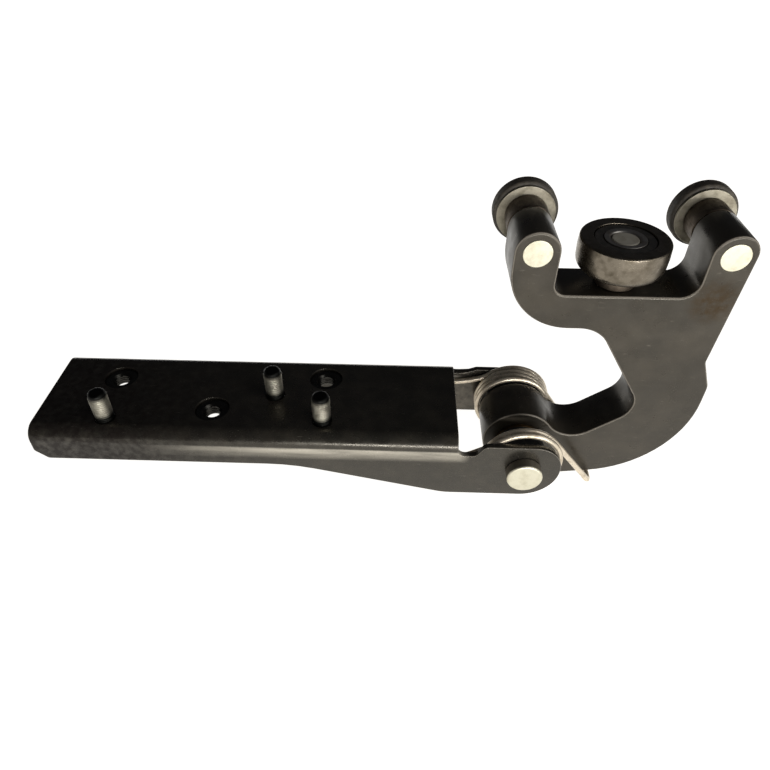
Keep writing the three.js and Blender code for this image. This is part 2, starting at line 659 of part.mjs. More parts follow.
// ---------------------------------------------------------------- guide rollers
const COLLAR_START = ARM_THICKNESS + GAP;
const COLLAR_END = COLLAR_START + GUIDE_COLLAR_LENGTH;
const GUIDE_WASHER_PLACE = COLLAR_END + GAP;
const ROLLER_START = GUIDE_WASHER_PLACE + GUIDE_WASHER_THICKNESS + GAP;
const ROLLER_END = ROLLER_START + GUIDE_ROLLER_WIDTH;
const CAP_PLACE = ROLLER_END + GAP;
const RIVET_PLACE = CAP_PLACE + GUIDE_CAP_THICKNESS + GAP;
const GUIDE_MIDDLE = (ROLLER_START + ROLLER_END) / 2;
const GUIDE_INNER_EDGE = GUIDE_BALL_CIRCLE - 1.1;
const GUIDE_OUTER_EDGE = GUIDE_BALL_CIRCLE + 1.1;
const GUIDE_TYRE_BORE = GUIDE_ROLLER_RADIUS - GUIDE_TYRE_WALL;

// A shouldered pin: its front end is flush in the horn, and its tail is riveted over.
function guidePin(horn) {
  return turnedAlongY([
    [0, -GAP], [GUIDE_PIN_RADIUS - 0.3, -GAP], [GUIDE_PIN_RADIUS, 0],
    [GUIDE_PIN_RADIUS, COLLAR_START], [GUIDE_COLLAR_RADIUS, COLLAR_START],
    [GUIDE_COLLAR_RADIUS, COLLAR_END], [GUIDE_JOURNAL_RADIUS, COLLAR_END],
    [GUIDE_JOURNAL_RADIUS, RIVET_PLACE], [GUIDE_RIVET_RADIUS, RIVET_PLACE],
    [GUIDE_RIVET_RADIUS - 0.8, RIVET_PLACE + GUIDE_RIVET_THICKNESS],
    [0, RIVET_PLACE + GUIDE_RIVET_THICKNESS],
  ], horn);
}

const guideWasher = (horn) => turnedAlongY(sleeve(
  GUIDE_JOURNAL_RADIUS + GAP, GUIDE_WASHER_RADIUS,
  GUIDE_WASHER_PLACE, GUIDE_WASHER_PLACE + GUIDE_WASHER_THICKNESS,
), horn);

const guideCap = (horn) => turnedAlongY(sleeve(
  GUIDE_JOURNAL_RADIUS + GAP, GUIDE_CAP_RADIUS, CAP_PLACE, CAP_PLACE + GUIDE_CAP_THICKNESS,
), horn);

function guideInnerRace(horn) {
  const bore = GUIDE_JOURNAL_RADIUS + GAP;
  const track = groove(GUIDE_BALL_CIRCLE, GUIDE_BALL_RADIUS, GUIDE_MIDDLE, GUIDE_INNER_EDGE, -1);
  return turnedAlongY([
    [bore, ROLLER_START], [GUIDE_INNER_EDGE, ROLLER_START], ...track,
    [GUIDE_INNER_EDGE, ROLLER_END], [bore, ROLLER_END], [bore, ROLLER_START],
  ], horn);
}

function guideOuterRace(horn) {
  const outside = GUIDE_TYRE_BORE - GAP;
  const track = groove(GUIDE_BALL_CIRCLE, GUIDE_BALL_RADIUS, GUIDE_MIDDLE, GUIDE_OUTER_EDGE, 1);
  return turnedAlongY([
    [outside, ROLLER_START], [GUIDE_OUTER_EDGE, ROLLER_START], ...track,
    [GUIDE_OUTER_EDGE, ROLLER_END], [outside, ROLLER_END], [outside, ROLLER_START],
  ], horn);
}

function guideTyre(horn) {
  const round = 1.1;
  const outer = GUIDE_ROLLER_RADIUS;
  return turnedAlongY([
    [GUIDE_TYRE_BORE, ROLLER_START], [outer - round, ROLLER_START],
    [outer - 0.3 * round, ROLLER_START + 0.3 * round], [outer, ROLLER_START + round],
    [outer, ROLLER_END - round], [outer - 0.3 * round, ROLLER_END - 0.3 * round],
    [outer - round, ROLLER_END], [GUIDE_TYRE_BORE, ROLLER_END], [GUIDE_TYRE_BORE, ROLLER_START],
  ], horn, FINE);
}

function placeGuideRoller(side, horn) {
  const cage = ballCage(
    GUIDE_BALL_CIRCLE, GUIDE_BALL_RADIUS, GUIDE_BALL_COUNT,
    (body) => body.translate([horn[0], GUIDE_MIDDLE, horn[1]]),
  );
  place(`guide_pin_${side}`, guidePin(horn), collarSteel);
  place(`guide_washer_${side}`, guideWasher(horn), zincSteel);
  place(`guide_inner_race_${side}`, guideInnerRace(horn), dullSteel);
  place(`guide_ball_cage_${side}`, cage, dullSteel);
  place(`guide_outer_race_${side}`, guideOuterRace(horn), dullSteel);
  place(`guide_tyre_${side}`, guideTyre(horn), blackNylon);
  place(`guide_cap_washer_${side}`, guideCap(horn), zincSteel);
}

// ---------------------------------------------------------------- load roller
const SHOULDER_LOW = YOKE_FLOOR + GAP;
const SHOULDER_TOP = YOKE_FLOOR + LOAD_LIFT;
const LOAD_LOW = SHOULDER_TOP + GAP;
const LOAD_TOP = LOAD_LOW + LOAD_HEIGHT;
const LOAD_MIDDLE = (LOAD_LOW + LOAD_TOP) / 2;
const LOAD_INNER_EDGE = LOAD_BALL_CIRCLE - 1.7;
const LOAD_OUTER_EDGE = LOAD_BALL_CIRCLE + 1.9;
const LOAD_JOURNAL_TOP = LOAD_TOP - 0.4;

// A shouldered pin pressed into the yoke, with a wide shoulder under the roller.
function loadPin() {
  const low = YOKE_FLOOR - LOAD_PIN_DEPTH;
  return turnedUpright([
    [0, low], [LOAD_PIN_RADIUS - 0.5, low], [LOAD_PIN_RADIUS, low + 0.5],
    [LOAD_PIN_RADIUS, SHOULDER_LOW], [LOAD_SHOULDER_RADIUS, SHOULDER_LOW],
    [LOAD_SHOULDER_RADIUS, SHOULDER_TOP], [LOAD_PIN_RADIUS, SHOULDER_TOP],
    [LOAD_PIN_RADIUS, LOAD_JOURNAL_TOP - 0.4], [LOAD_PIN_RADIUS - 0.4, LOAD_JOURNAL_TOP],
    [0, LOAD_JOURNAL_TOP],
  ], LOAD_AXIS);
}

function loadInnerRace() {
  const bore = LOAD_PIN_RADIUS + GAP;
  const low = LOAD_LOW;
  const top = LOAD_TOP - 0.2;
  const track = groove(LOAD_BALL_CIRCLE, LOAD_BALL_RADIUS, LOAD_MIDDLE, LOAD_INNER_EDGE, -1);
  return turnedUpright([
    [bore, low], [LOAD_INNER_EDGE, low], ...track,
    [LOAD_INNER_EDGE, top], [bore, top], [bore, low],
  ], LOAD_AXIS);
}

// The roller is its own outer race: a steel ring, well rounded below and bevelled above.
function loadRoller() {
  const track = groove(LOAD_BALL_CIRCLE, LOAD_BALL_RADIUS, LOAD_MIDDLE, LOAD_OUTER_EDGE, 1);
  const outer = LOAD_RADIUS;
  const low = LOAD_LOW_ROUND;
  const top = LOAD_TOP_BEVEL;
  return turnedUpright([
    [outer - low, LOAD_LOW], [LOAD_OUTER_EDGE, LOAD_LOW], ...track,
    [LOAD_OUTER_EDGE, LOAD_TOP], [outer - top, LOAD_TOP], [outer, LOAD_TOP - top],
    [outer, LOAD_LOW + low], [outer - 0.3 * low, LOAD_LOW + 0.3 * low], [outer - low, LOAD_LOW],
  ], LOAD_AXIS, FINE);
}

const loadSeal = (low) => turnedUpright(sleeve(
  LOAD_INNER_EDGE + GAP, LOAD_OUTER_EDGE - GAP, low, low + LOAD_SEAL_THICKNESS,
), LOAD_AXIS);

function placeLoadRoller() {
  const cage = ballCage(
    LOAD_BALL_CIRCLE, LOAD_BALL_RADIUS, LOAD_BALL_COUNT,
    (body) => body.rotate([90, 0, 0]).translate([...LOAD_AXIS, LOAD_MIDDLE]),
  );
  place('load_pin', loadPin(), zincSteel);
  place('load_inner_race', loadInnerRace(), dullSteel);
  place('load_ball_cage', cage, dullSteel);
  place('load_roller', loadRoller(), rollerSteel);
  place('load_seal_upper', loadSeal(LOAD_TOP - LOAD_SEAL_RECESS - LOAD_SEAL_THICKNESS), sealRubber);
  place('load_seal_lower', loadSeal(LOAD_LOW + LOAD_SEAL_RECESS), sealRubber);
}

// ---------------------------------------------------------------- assembly
place('bracket_channel', bracketChannel(), blackPaint);
STUDS.forEach((at, i) => place(`mounting_stud_${i + 1}`, mountingStud(at), zincSteel));
NUTS.forEach((at, i) => place(`clinch_nut_${i + 1}`, clinchNut(at), dullSteel));

place('hinge_pin', hingePin(), zincSteel);
place('hinge_washer', pinWasher(), zincSteel);
place('retaining_clip', retainingClip(), dullSteel);
place('spring_spacer_front', springSpacer(FRONT_EAR_INSIDE + GAP, -FLANGE_STACK), blackNylon);
place(
  'spring_spacer_rear',
  springSpacer(ARM_THICKNESS + FLANGE_STACK, REAR_EAR_INSIDE - GAP),
  blackNylon,
);
place(
  'torsion_spring_front',
  torsionSpring(0, FRONT_EAR_INSIDE, FRONT_TURNS, -1, FRONT_LEG_HEIGHT),
  springWire,
);
place(
  'torsion_spring_rear',
  torsionSpring(ARM_THICKNESS, REAR_EAR_INSIDE, REAR_TURNS, 1, REAR_LEG_HEIGHT),
  springWire,
);

place('roller_arm', rollerArm(), armPaint);
place('pivot_bush_front', pivotBush(0, 1), bronze);
place('pivot_bush_rear', pivotBush(ARM_THICKNESS, -1), bronze);
placeGuideRoller('left', LEFT_HORN);
placeGuideRoller('right', RIGHT_HORN);
placeLoadRoller();

export default part;
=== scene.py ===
# %% [markdown]
# # A hinged roller carrier, from a sliding door
# A pressed channel bracket bolts to the door. A thick gooseneck arm swings on a pin between its two
# ears, against two torsion springs. The arm ends in a yoke with three rollers that run in a rail:
# two small guide rollers on lying pins, and one large load roller on an upright pin.
# The working model is already made, so its frame is loaded first. It gives every size and place.

# %% Load the frame
import math

import bmesh
import bpy
from mathutils import Matrix, Vector


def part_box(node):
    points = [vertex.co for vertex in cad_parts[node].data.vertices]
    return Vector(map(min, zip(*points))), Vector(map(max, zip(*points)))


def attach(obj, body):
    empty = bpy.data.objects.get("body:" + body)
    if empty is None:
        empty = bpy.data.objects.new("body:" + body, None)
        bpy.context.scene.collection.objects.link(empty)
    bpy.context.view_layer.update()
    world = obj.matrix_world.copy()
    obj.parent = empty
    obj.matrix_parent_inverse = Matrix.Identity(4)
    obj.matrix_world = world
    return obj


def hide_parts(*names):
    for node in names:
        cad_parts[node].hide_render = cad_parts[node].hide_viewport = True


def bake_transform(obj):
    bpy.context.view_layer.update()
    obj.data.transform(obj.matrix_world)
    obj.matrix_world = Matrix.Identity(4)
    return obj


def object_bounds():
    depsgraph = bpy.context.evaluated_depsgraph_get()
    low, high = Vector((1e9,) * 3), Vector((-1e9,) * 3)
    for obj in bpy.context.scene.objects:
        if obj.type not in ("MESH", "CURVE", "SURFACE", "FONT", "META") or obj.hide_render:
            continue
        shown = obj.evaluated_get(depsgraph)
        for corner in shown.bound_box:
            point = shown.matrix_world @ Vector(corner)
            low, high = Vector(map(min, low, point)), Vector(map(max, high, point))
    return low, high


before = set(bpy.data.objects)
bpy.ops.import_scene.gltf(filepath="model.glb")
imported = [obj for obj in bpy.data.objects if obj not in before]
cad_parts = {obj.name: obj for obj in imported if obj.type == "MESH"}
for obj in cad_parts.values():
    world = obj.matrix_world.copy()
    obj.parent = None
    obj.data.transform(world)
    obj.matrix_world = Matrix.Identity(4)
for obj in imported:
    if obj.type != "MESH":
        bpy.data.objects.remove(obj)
cad_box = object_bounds()

# %% [markdown]
# Everything is drawn in millimetres about the hinge: X runs from the bracket to the arm, Y along
# the pin, Z up. The zero of Y is the arm's front face. One matrix at the end of each piece turns
# millimetres into metres and puts the piece in its place, so every object stays at the origin.

# %% Millimetres about the hinge
MM = 0.001
pin_low, pin_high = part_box("hinge_pin")
HINGE = Vector((
    (pin_low.x + pin_high.x) / 2,
    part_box("roller_arm")[0].y,
    (pin_low.z + pin_high.z) / 2,
))
TO_FRAME = Matrix.Translation(HINGE) @ Matrix.Scale(MM, 4)


def cad(node):
    """The lowest and highest corner of a CAD node, in millimetres about the hinge."""
    return [(corner - HINGE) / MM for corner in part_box(node)]


def middle(node):
    low, high = cad(node)
    return (low + high) / 2


WEB_TOP = cad("bracket_channel")[1].z
print("hinge at", [round(value, 4) for value in HINGE])

# %% [markdown]
# ## Camera, floor and light
# The camera comes first, because each finish is judged through it. The part stands on pale paper
# that glows, so it shows no shadow. Upright faces mirror the paper and look grey, and level faces
# mirror a dim sky and look black. A weak soft sun from the right and a low bright strip in front
# draw the highlights.

# %% Camera
CAMERA_PLACE = Vector((-53.7, -200, 202.1))     # mm about the hinge
CAMERA_TILT = 40.7                              # degrees below the horizon
CAMERA_PAN = 1.5
CAMERA_ROLL = 0.45
CAMERA_LENS = 29.83                             # mm, on a 36 mm sensor


def add_object(name, data):
    thing = bpy.data.objects.new(name, data)
    bpy.context.scene.collection.objects.link(thing)
    return thing


def add_camera():
    lens = bpy.data.cameras.new("camera")
    lens.lens = CAMERA_LENS
    lens.sensor_width = 36
    lens.clip_start = 0.01
    camera = add_object("camera", lens)
    turn = (
        Matrix.Rotation(math.radians(CAMERA_PAN), 4, "Z")
        @ Matrix.Rotation(math.radians(90 - CAMERA_TILT), 4, "X")
        @ Matrix.Rotation(math.radians(CAMERA_ROLL), 4, "Z")
    )
    camera.matrix_world = Matrix.Translation(HINGE + CAMERA_PLACE * MM) @ turn
    bpy.context.scene.camera = camera
    return camera


camera = add_camera()
print("camera at", [round(value, 3) for value in camera.location])

# %% Floor and light
FLOOR_HALF = 4.0
PAPER_COLOUR = (0.9, 0.9, 0.89, 1)
PAPER_GLOW = 0.95
GLOW_COLOUR = (1, 0.985, 0.95, 1)
SUN_STRENGTH = 0.9
SUN_WIDTH = 50                                  # degrees of sky that the soft sun fills
SUN_FROM = Vector((0.75, -0.4, 0.55))
SKY = (0.035, 0.036, 0.04, 1)
WINDOW_SIZE = (1.6, 0.16)                       # metres, a low bright strip in front
WINDOW_PLACE = Vector((0.7, -1.5, 0.1))
WINDOW_POWER = 26


def add_floor():
    level = cad_box[0].z
    corners = [(-1, -1), (1, -1), (1, 1), (-1, 1)]
    mesh = bpy.data.meshes.new("floor")
    mesh.from_pydata([(x * FLOOR_HALF, y * FLOOR_HALF, level) for x, y in corners], [], [(0, 1, 2, 3)])
    paper = bpy.data.materials.new("pale_paper")
    paper.use_nodes = True
    shader = paper.node_tree.nodes["Principled BSDF"]
    shader.inputs["Base Color"].default_value = PAPER_COLOUR
    shader.inputs["Roughness"].default_value = 0.9
    shader.inputs["Specular IOR Level"].default_value = 0.1
    shader.inputs["Emission Color"].default_value = GLOW_COLOUR
    shader.inputs["Emission Strength"].default_value = PAPER_GLOW
    mesh.materials.append(paper)
    add_object("floor", mesh)


def add_lamp(name, kind, energy):
    light = bpy.data.lights.new(name, kind)
    light.energy = energy
    return add_object(name, light)


def add_light():
    sun = add_lamp("soft_sun", "SUN", SUN_STRENGTH)
    sun.data.angle = math.radians(SUN_WIDTH)
    sun.rotation_euler = SUN_FROM.to_track_quat("Z", "Y").to_euler()
    window = add_lamp("low_window", "AREA", WINDOW_POWER)
    window.data.shape = "RECTANGLE"
    window.data.size, window.data.size_y = WINDOW_SIZE
    window.location = WINDOW_PLACE
    window.rotation_euler = (math.radians(90), 0, 0)
    world = bpy.data.worlds.new("sky")
    world.use_nodes = True
    world.node_tree.nodes["Background"].inputs["Color"].default_value = SKY
    bpy.context.scene.world = world
    bpy.context.scene.view_settings.view_transform = "Standard"


add_floor()
add_light()
print("floor at", round(cad_box[0].z, 4))

# %% [markdown]
# ## Finishes
# Every finish is a small node tree on Object coordinates, so its grain keeps its real size. One
# class makes the parts that such a tree needs: noises, ramps, mixes, places and bumps.

# %% Node helpers


class Finish:
    """A material being built: its tree, its shader, and the place on the piece."""

    def __init__(self, name, metallic=0.0):
        self.material = bpy.data.materials.new(name)
        self.material.use_nodes = True
        self.tree = self.material.node_tree
        self.shader = self.tree.nodes["Principled BSDF"]
        self.shader.inputs["Metallic"].default_value = metallic
        self.place = self.tree.nodes.new("ShaderNodeTexCoord").outputs["Object"]

    def noise(self, bump_size, detail, stretch=(1, 1, 1)):
        """Cloudy noise whose bumps are about bump_size millimetres; stretch lengthens them."""
        mapping = self.tree.nodes.new("ShaderNodeMapping")
        mapping.inputs["Scale"].default_value = [1 / amount for amount in stretch]
        texture = self.tree.nodes.new("ShaderNodeTexNoise")
        texture.inputs["Scale"].default_value = 1 / (bump_size * MM)
        texture.inputs["Detail"].default_value = detail
        texture.inputs["Roughness"].default_value = 0.55
        self.tree.links.new(self.place, mapping.inputs["Vector"])
        self.tree.links.new(mapping.outputs["Vector"], texture.inputs["Vector"])
        return texture.outputs[0]

    def ramp(self, value, start, end, low=0.0, high=1.0):
        """Map value from start..end to low..high, and hold it beyond."""
        node = self.tree.nodes.new("ShaderNodeMapRange")
        for name, number in zip(("From Min", "From Max", "To Min", "To Max"), (start, end, low, high)):
            node.inputs[name].default_value = number
        self.tree.links.new(value, node.inputs["Value"])
        return node.outputs[0]

    def mix(self, factor, first, second):
        """Blend two colours; each is a colour or an output."""
        node = self.tree.nodes.new("ShaderNodeMix")
        node.data_type = "RGBA"
        self.tree.links.new(factor, node.inputs[0])
        for socket, colour in ((node.inputs[6], first), (node.inputs[7], second)):
            if isinstance(colour, bpy.types.NodeSocket):
                self.tree.links.new(colour, socket)
            else:
                socket.default_value = (*colour, 1)
        return node.outputs[2]

    def math(self, operation, first, second):
        node = self.tree.nodes.new("ShaderNodeMath")
        node.operation = operation
        for socket, value in zip(node.inputs, (first, second)):
            if isinstance(value, bpy.types.NodeSocket):
                self.tree.links.new(value, socket)
            else:
                socket.default_value = value
        return node.outputs[0]

    def patch(self, centre, radius):
        """1 at a place in millimetres about the hinge, falling to 0 at radius."""
        node = self.tree.nodes.new("ShaderNodeVectorMath")
        node.operation = "DISTANCE"
        self.tree.links.new(self.place, node.inputs[0])
        node.inputs[1].default_value = HINGE + Vector(centre) * MM
        return self.ramp(node.outputs["Value"], radius * MM, radius * MM * 0.4)

    def along(self, axis, start, end):
        """0 at one place along X, Y or Z and 1 at another, in millimetres about the hinge."""
        node = self.tree.nodes.new("ShaderNodeSeparateXYZ")
        self.tree.links.new(self.place, node.inputs[0])
        zero = getattr(HINGE, axis.lower())
        return self.ramp(node.outputs[axis], zero + start * MM, zero + end * MM)

    def rim_wear_and_highlight(self):
        """How far into a rounded rim a point lies, where the paint is both rubbed and painted pale as a
        highlight: 1 in the middle of a rim, 0 on a flat face.
        """
        node = self.tree.nodes.new("ShaderNodeAttribute")
        node.attribute_name = "rim_wear_and_highlight"
        return node.outputs["Fac"]

    def colour(self, output):
        self.tree.links.new(output, self.shader.inputs["Base Color"])

    def roughness(self, output):
        self.tree.links.new(output, self.shader.inputs["Roughness"])

    def shine(self, output):
        self.tree.links.new(output, self.shader.inputs["Specular IOR Level"])

    def bump(self, height, distance):
        """Raise the surface by up to distance millimetres where height is 1."""
        node = self.tree.nodes.new("ShaderNodeBump")
        node.inputs["Distance"].default_value = distance * MM
        self.tree.links.new(height, node.inputs["Height"])
        self.tree.links.new(node.outputs["Normal"], self.shader.inputs["Normal"])


print("a finish can:", [name for name in vars(Finish) if not name.startswith("_")])

# %% [markdown]
# The bracket wears a thin glossy black dip coat. It is nearly black, with a fine orange peel, dull
# dusty clouds and small pale scuffs, and the paint is rubbed thin on the rims, which are drawn
# paler also as a painted highlight. A pale band along the lower half of the front bend is a painted
# highlight, a paler patch inside the rear flange is a painted reflection, and the far end is drawn
# darker and less shiny. The arm has the same coat, older and dustier, with a brown stain on it.

# %% Painted finishes
WARM_SHINE = (1.0, 0.92, 0.78, 1)
# the pale colour of the highlight that is painted along the front bend
BEND_PAINTED_HIGHLIGHT = (0.36, 0.33, 0.27)


def painted_highlight_band(finish, low, high, start, end):
    """1 along the front bend between two heights and two ends, streaky and soft below: where a pale
    highlight is painted.
    """
    band = finish.ramp(finish.noise(2.2, 5, (10, 2, 1)), 0.3, 0.6, 0.45, 1.0)
    limits = (
        ("Z", low, high - 1.5),
        ("Z", high, high - 0.8),
        ("X", start, start + 60),
        ("X", end, end - 4),
    )
    for limit in limits:
        band = finish.math("MULTIPLY", band, finish.along(*limit))
    return band


def painted(name, clean, dusty, worn_and_highlight, gloss, dull, smudge_size, shine, stains_and_painted_light=(), bend=None):
    """Black paint. Its roughness runs from gloss to dull in clouds of about smudge_size.
    Each patch in stains_and_painted_light is (place, radius, colour, how much shine is left): a real stain
    on the arm, a painted reflection inside the rear flange, and a darker far end.
    A bend holds the two heights and the two ends of a pale band that is painted along it as a highlight."""
    finish = Finish(name)
    finish.shader.inputs["Specular Tint"].default_value = WARM_SHINE
    finish.shader.inputs["Specular IOR Level"].default_value = shine
    clouds = finish.ramp(finish.noise(smudge_size, 5), 0.42, 0.72)
    scuffs = finish.ramp(finish.noise(0.9, 6, (6, 1, 1)), 0.66, 0.74)
    specks = finish.ramp(finish.noise(0.35, 2), 0.7, 0.78)
    marks = finish.math("MAXIMUM", finish.math("MULTIPLY", scuffs, 0.5), specks)
    # the rims turn paler: partly rubbed paint, partly a painted highlight on the rounded rim
    rim = finish.ramp(finish.rim_wear_and_highlight(), 0.35, 1.0, 0.0, 0.8)
    streaks = finish.ramp(finish.noise(1.6, 5, (14, 3, 1)), 0.5, 0.8, 0.0, 0.3)
    base = finish.mix(streaks, finish.mix(clouds, clean, dusty), dusty)
    level = shine
    # patches recolour the paint: a real stain, a painted reflection, and a darker far end
    for centre, radius, colour, kept in stains_and_painted_light:
        patch_edge_noise = finish.ramp(finish.noise(3, 5), 0.25, 0.6)
        ragged = finish.math("MULTIPLY", finish.patch(centre, radius), patch_edge_noise)
        base = finish.mix(ragged, base, colour)
        level = finish.math("MULTIPLY", level, finish.ramp(ragged, 0, 1, 1, kept))
    if stains_and_painted_light:
        finish.shine(level)
    # a pale band along the lower front bend: painted highlight
    if bend:
        base = finish.mix(painted_highlight_band(finish, *bend), base, BEND_PAINTED_HIGHLIGHT)
    spotted = finish.mix(finish.math("MULTIPLY", marks, 0.35), base, worn_and_highlight)
    finish.colour(finish.mix(rim, spotted, worn_and_highlight))
    cloudy = finish.ramp(finish.noise(smudge_size * 0.6, 4), 0.35, 0.7, gloss, dull)
    finish.roughness(finish.math("ADD", cloudy, finish.math("MULTIPLY", marks, 0.15)))
    finish.bump(finish.noise(1.1, 2), 0.012)
    return finish.material


# a paler patch inside the rear flange: painted reflection of the bright floor that this face would mirror
REAR_FLANGE_PAINTED_REFLECTION = ((-26, 31, -3), 15, (0.14, 0.125, 0.1), 1)
# the far end of the bracket is drawn darker and less shiny
DARKER_FAR_END = ((-222, -18, 4), 130, (0.01, 0.008, 0.007), 0.3)
STAIN_BELOW_HORN = ((61, 0, 74), 11, (0.035, 0.022, 0.01), 0.35)
# two heights and two ends of the painted highlight on the front bend
FRONT_BEND_HIGHLIGHT_BAND = (3.2, 9.9, -160, -23)
BRACKET_PAINT = painted(
    "bracket_paint", clean=(0.012, 0.011, 0.009), dusty=(0.024, 0.021, 0.016), worn_and_highlight=(0.2, 0.18, 0.15),
    gloss=0.2, dull=0.34, smudge_size=9, shine=0.55, stains_and_painted_light=(REAR_FLANGE_PAINTED_REFLECTION, DARKER_FAR_END),
    bend=FRONT_BEND_HIGHLIGHT_BAND,
)
ARM_PAINT = painted(
    "arm_paint", clean=(0.016, 0.0135, 0.01), dusty=(0.03, 0.025, 0.018), worn_and_highlight=(0.26, 0.23, 0.19),
    gloss=0.26, dull=0.44, smudge_size=13, shine=0.5, stains_and_painted_light=(STAIN_BELOW_HORN,),
)
print("painted:", BRACKET_PAINT.name, ARM_PAINT.name)

# %% [markdown]
# Bare metals differ by colour, by how fine the machining is and by how clean they are. The wire,
# the studs, the collars and the large roller keep faint tool marks, so their noise is stretched
# along the cut. The studs are drawn near black at the foot and the tip, and show their metal only in
# the middle.

# %% Metal finishes
EVEN = (1, 1, 1)                                # tool marks with no direction
ACROSS_WIRE = (4, 1, 4)
ROUND_UPRIGHT = (6, 6, 1)
ROUND_ROLLER = (3, 3, 1)
ALONG_COLLAR = (1, 6, 1)
STUD_END_COLOUR = (0.01, 0.01, 0.009)


def metal(
    name, colour, stain, smooth, rough, grain=0.5, stretch=EVEN, stained=(0.45, 0.75), metallic=1.0,
    darker_ends=(),
):
    """Bare metal. Its roughness runs from smooth to rough along tool marks that are grain
    millimetres wide. Each of darker_ends is two heights between which a near-black colour at an end
    gives way to the metal."""
    finish = Finish(name, metallic)
    stains = finish.ramp(finish.noise(3.5, 5), *stained)
    shown = finish.mix(stains, colour, stain)
    if darker_ends:
        foot, tip = (finish.along("Z", *heights) for heights in darker_ends)
        shown = finish.mix(finish.math("MULTIPLY", foot, tip), STUD_END_COLOUR, shown)
    finish.colour(shown)
    marks = finish.noise(grain, 3, stretch)
    uneven = finish.ramp(marks, 0.3, 0.7, smooth, rough)
    finish.roughness(finish.math("ADD", uneven, finish.math("MULTIPLY", stains, 0.12)))
    finish.bump(marks, 0.004)
    return finish.material


# a pale zinc that stands for metal catching the light: painted light on the pin ends
ZINC_PAINTED_LIT = metal("bright_zinc", (0.6, 0.57, 0.45), (0.5, 0.465, 0.35), 0.4, 0.6)
STUD_ZINC = metal(
    "stud_zinc", (0.34, 0.32, 0.26), (0.14, 0.125, 0.1), 0.3, 0.5, 0.4, ROUND_UPRIGHT,
    # near black at the stud's foot and tip, metal in between
    darker_ends=((WEB_TOP + 2.0, WEB_TOP + 4.2), (WEB_TOP + 12.6, WEB_TOP + 11.0)),
)
NUT_STEEL = metal("nut_steel", (0.05, 0.048, 0.042), (0.025, 0.022, 0.02), 0.18, 0.34, 0.4)
DULL_STEEL = metal("dull_steel", (0.38, 0.36, 0.33), (0.2, 0.17, 0.14), 0.32, 0.5, 0.4)
SPRING_WIRE = metal(
    "spring_wire", (0.62, 0.54, 0.42), (0.3, 0.24, 0.16), 0.24, 0.42, 0.25, ACROSS_WIRE,
    stained=(0.5, 0.8), metallic=0.7,
)
WASHER_STEEL = metal("washer_steel", (0.27, 0.245, 0.19), (0.15, 0.13, 0.093), 0.4, 0.6)
ROLLER_STEEL = metal(
    "roller_steel", (0.18, 0.155, 0.12), (0.08, 0.066, 0.046), 0.22, 0.34, 1.4, ROUND_ROLLER,
)
COLLAR_STEEL = metal(
    "collar_steel", (0.10, 0.08, 0.06), (0.045, 0.034, 0.025), 0.4, 0.6, stretch=ALONG_COLLAR,
)
BUSH_BRONZE = metal("bush_bronze", (0.1, 0.065, 0.03), (0.05, 0.035, 0.02), 0.4, 0.55)
# a darker copy of the pale zinc: painted shade on the hinge pin's side
PIN_PAINTED_SHADE = metal("pin_shade", (0.3, 0.27, 0.22), (0.16, 0.14, 0.11), 0.4, 0.6)
PIN_END = metal("pin_end", (0.42, 0.39, 0.32), (0.3, 0.27, 0.21), 0.5, 0.65, metallic=0.15)
print("metals:", sum("steel" in material.name for material in bpy.data.materials), "steels")

# %% [markdown]
# Nylon and rubber are dull, dusty in the hollows and grained by their moulds. The tyres are the
# roughest, because they run on a rail.

# %% Plastic and rubber finishes


def moulded(name, colour, dusty, smooth, rough, grain, depth):
    """A moulded finish with bumps that are grain millimetres wide and depth high."""
    finish = Finish(name)
    finish.colour(finish.mix(finish.ramp(finish.noise(2.2, 5), 0.45, 0.75), colour, dusty))
    finish.roughness(finish.ramp(finish.noise(1.3, 3), 0.3, 0.7, smooth, rough))
    finish.bump(finish.noise(grain, 3), depth)
    return finish.material


TYRE_NYLON = moulded("tyre_nylon", (0.032, 0.026, 0.018), (0.08, 0.066, 0.047), 0.6, 0.8, 1.1, 0.16)
SPACER_NYLON = moulded("spacer_nylon", (0.008, 0.008, 0.008), (0.02, 0.018, 0.016), 0.45, 0.6, 0.6, 0.01)
SEAL_RUBBER = moulded("seal_rubber", (0.02, 0.018, 0.015), (0.05, 0.043, 0.035), 0.5, 0.65, 0.4, 0.01)
print("moulded:", TYRE_NYLON.name, SPACER_NYLON.name, SEAL_RUBBER.name)

# %% [markdown]
# ## Outlines
# Flat outlines are lists of corners with a radius each. One function swaps each corner for an arc
# that touches both sides, fine enough to look round from close by.

# %% Round the corners of an outline
ARC_STEP = math.radians(5)


def arc(centre, radius, start, sweep):
    """Points along an arc, from the angle start through sweep, both in radians."""
    steps = max(2, round(abs(sweep) / ARC_STEP))
    angles = [start + sweep * i / steps for i in range(steps + 1)]
    return [centre + radius * Vector((math.cos(angle), math.sin(angle))) for angle in angles]


def rounded_outline(corners):
    """A closed outline through corners (x, y, radius)."""
    points = []
    for i, (x, y, radius) in enumerate(corners):
        corner = Vector((x, y))
        if radius == 0:
            points.append(corner)
            continue
        before = (Vector(corners[i - 1][:2]) - corner).normalized()
        after = (Vector(corners[(i + 1) % len(corners)][:2]) - corner).normalized()
        half = math.acos(max(-1, min(1, before.dot(after)))) / 2
        centre = corner + (before + after).normalized() * radius / math.sin(half)
        first = corner + before * radius / math.tan(half) - centre
        last = corner + after * radius / math.tan(half) - centre
        turn = math.atan2(first.x * last.y - first.y * last.x, first.dot(last))
        points += arc(centre, radius, math.atan2(first.y, first.x), turn)
    return apart(points)


def apart(points):
    """Leave out every point that repeats the one before it."""
    return [point for i, point in enumerate(points) if (point - points[i - 1]).length > 1e-4]


def circle(x, y, radius):
    return arc(Vector((x, y)), radius, 0, math.tau)[:-1]


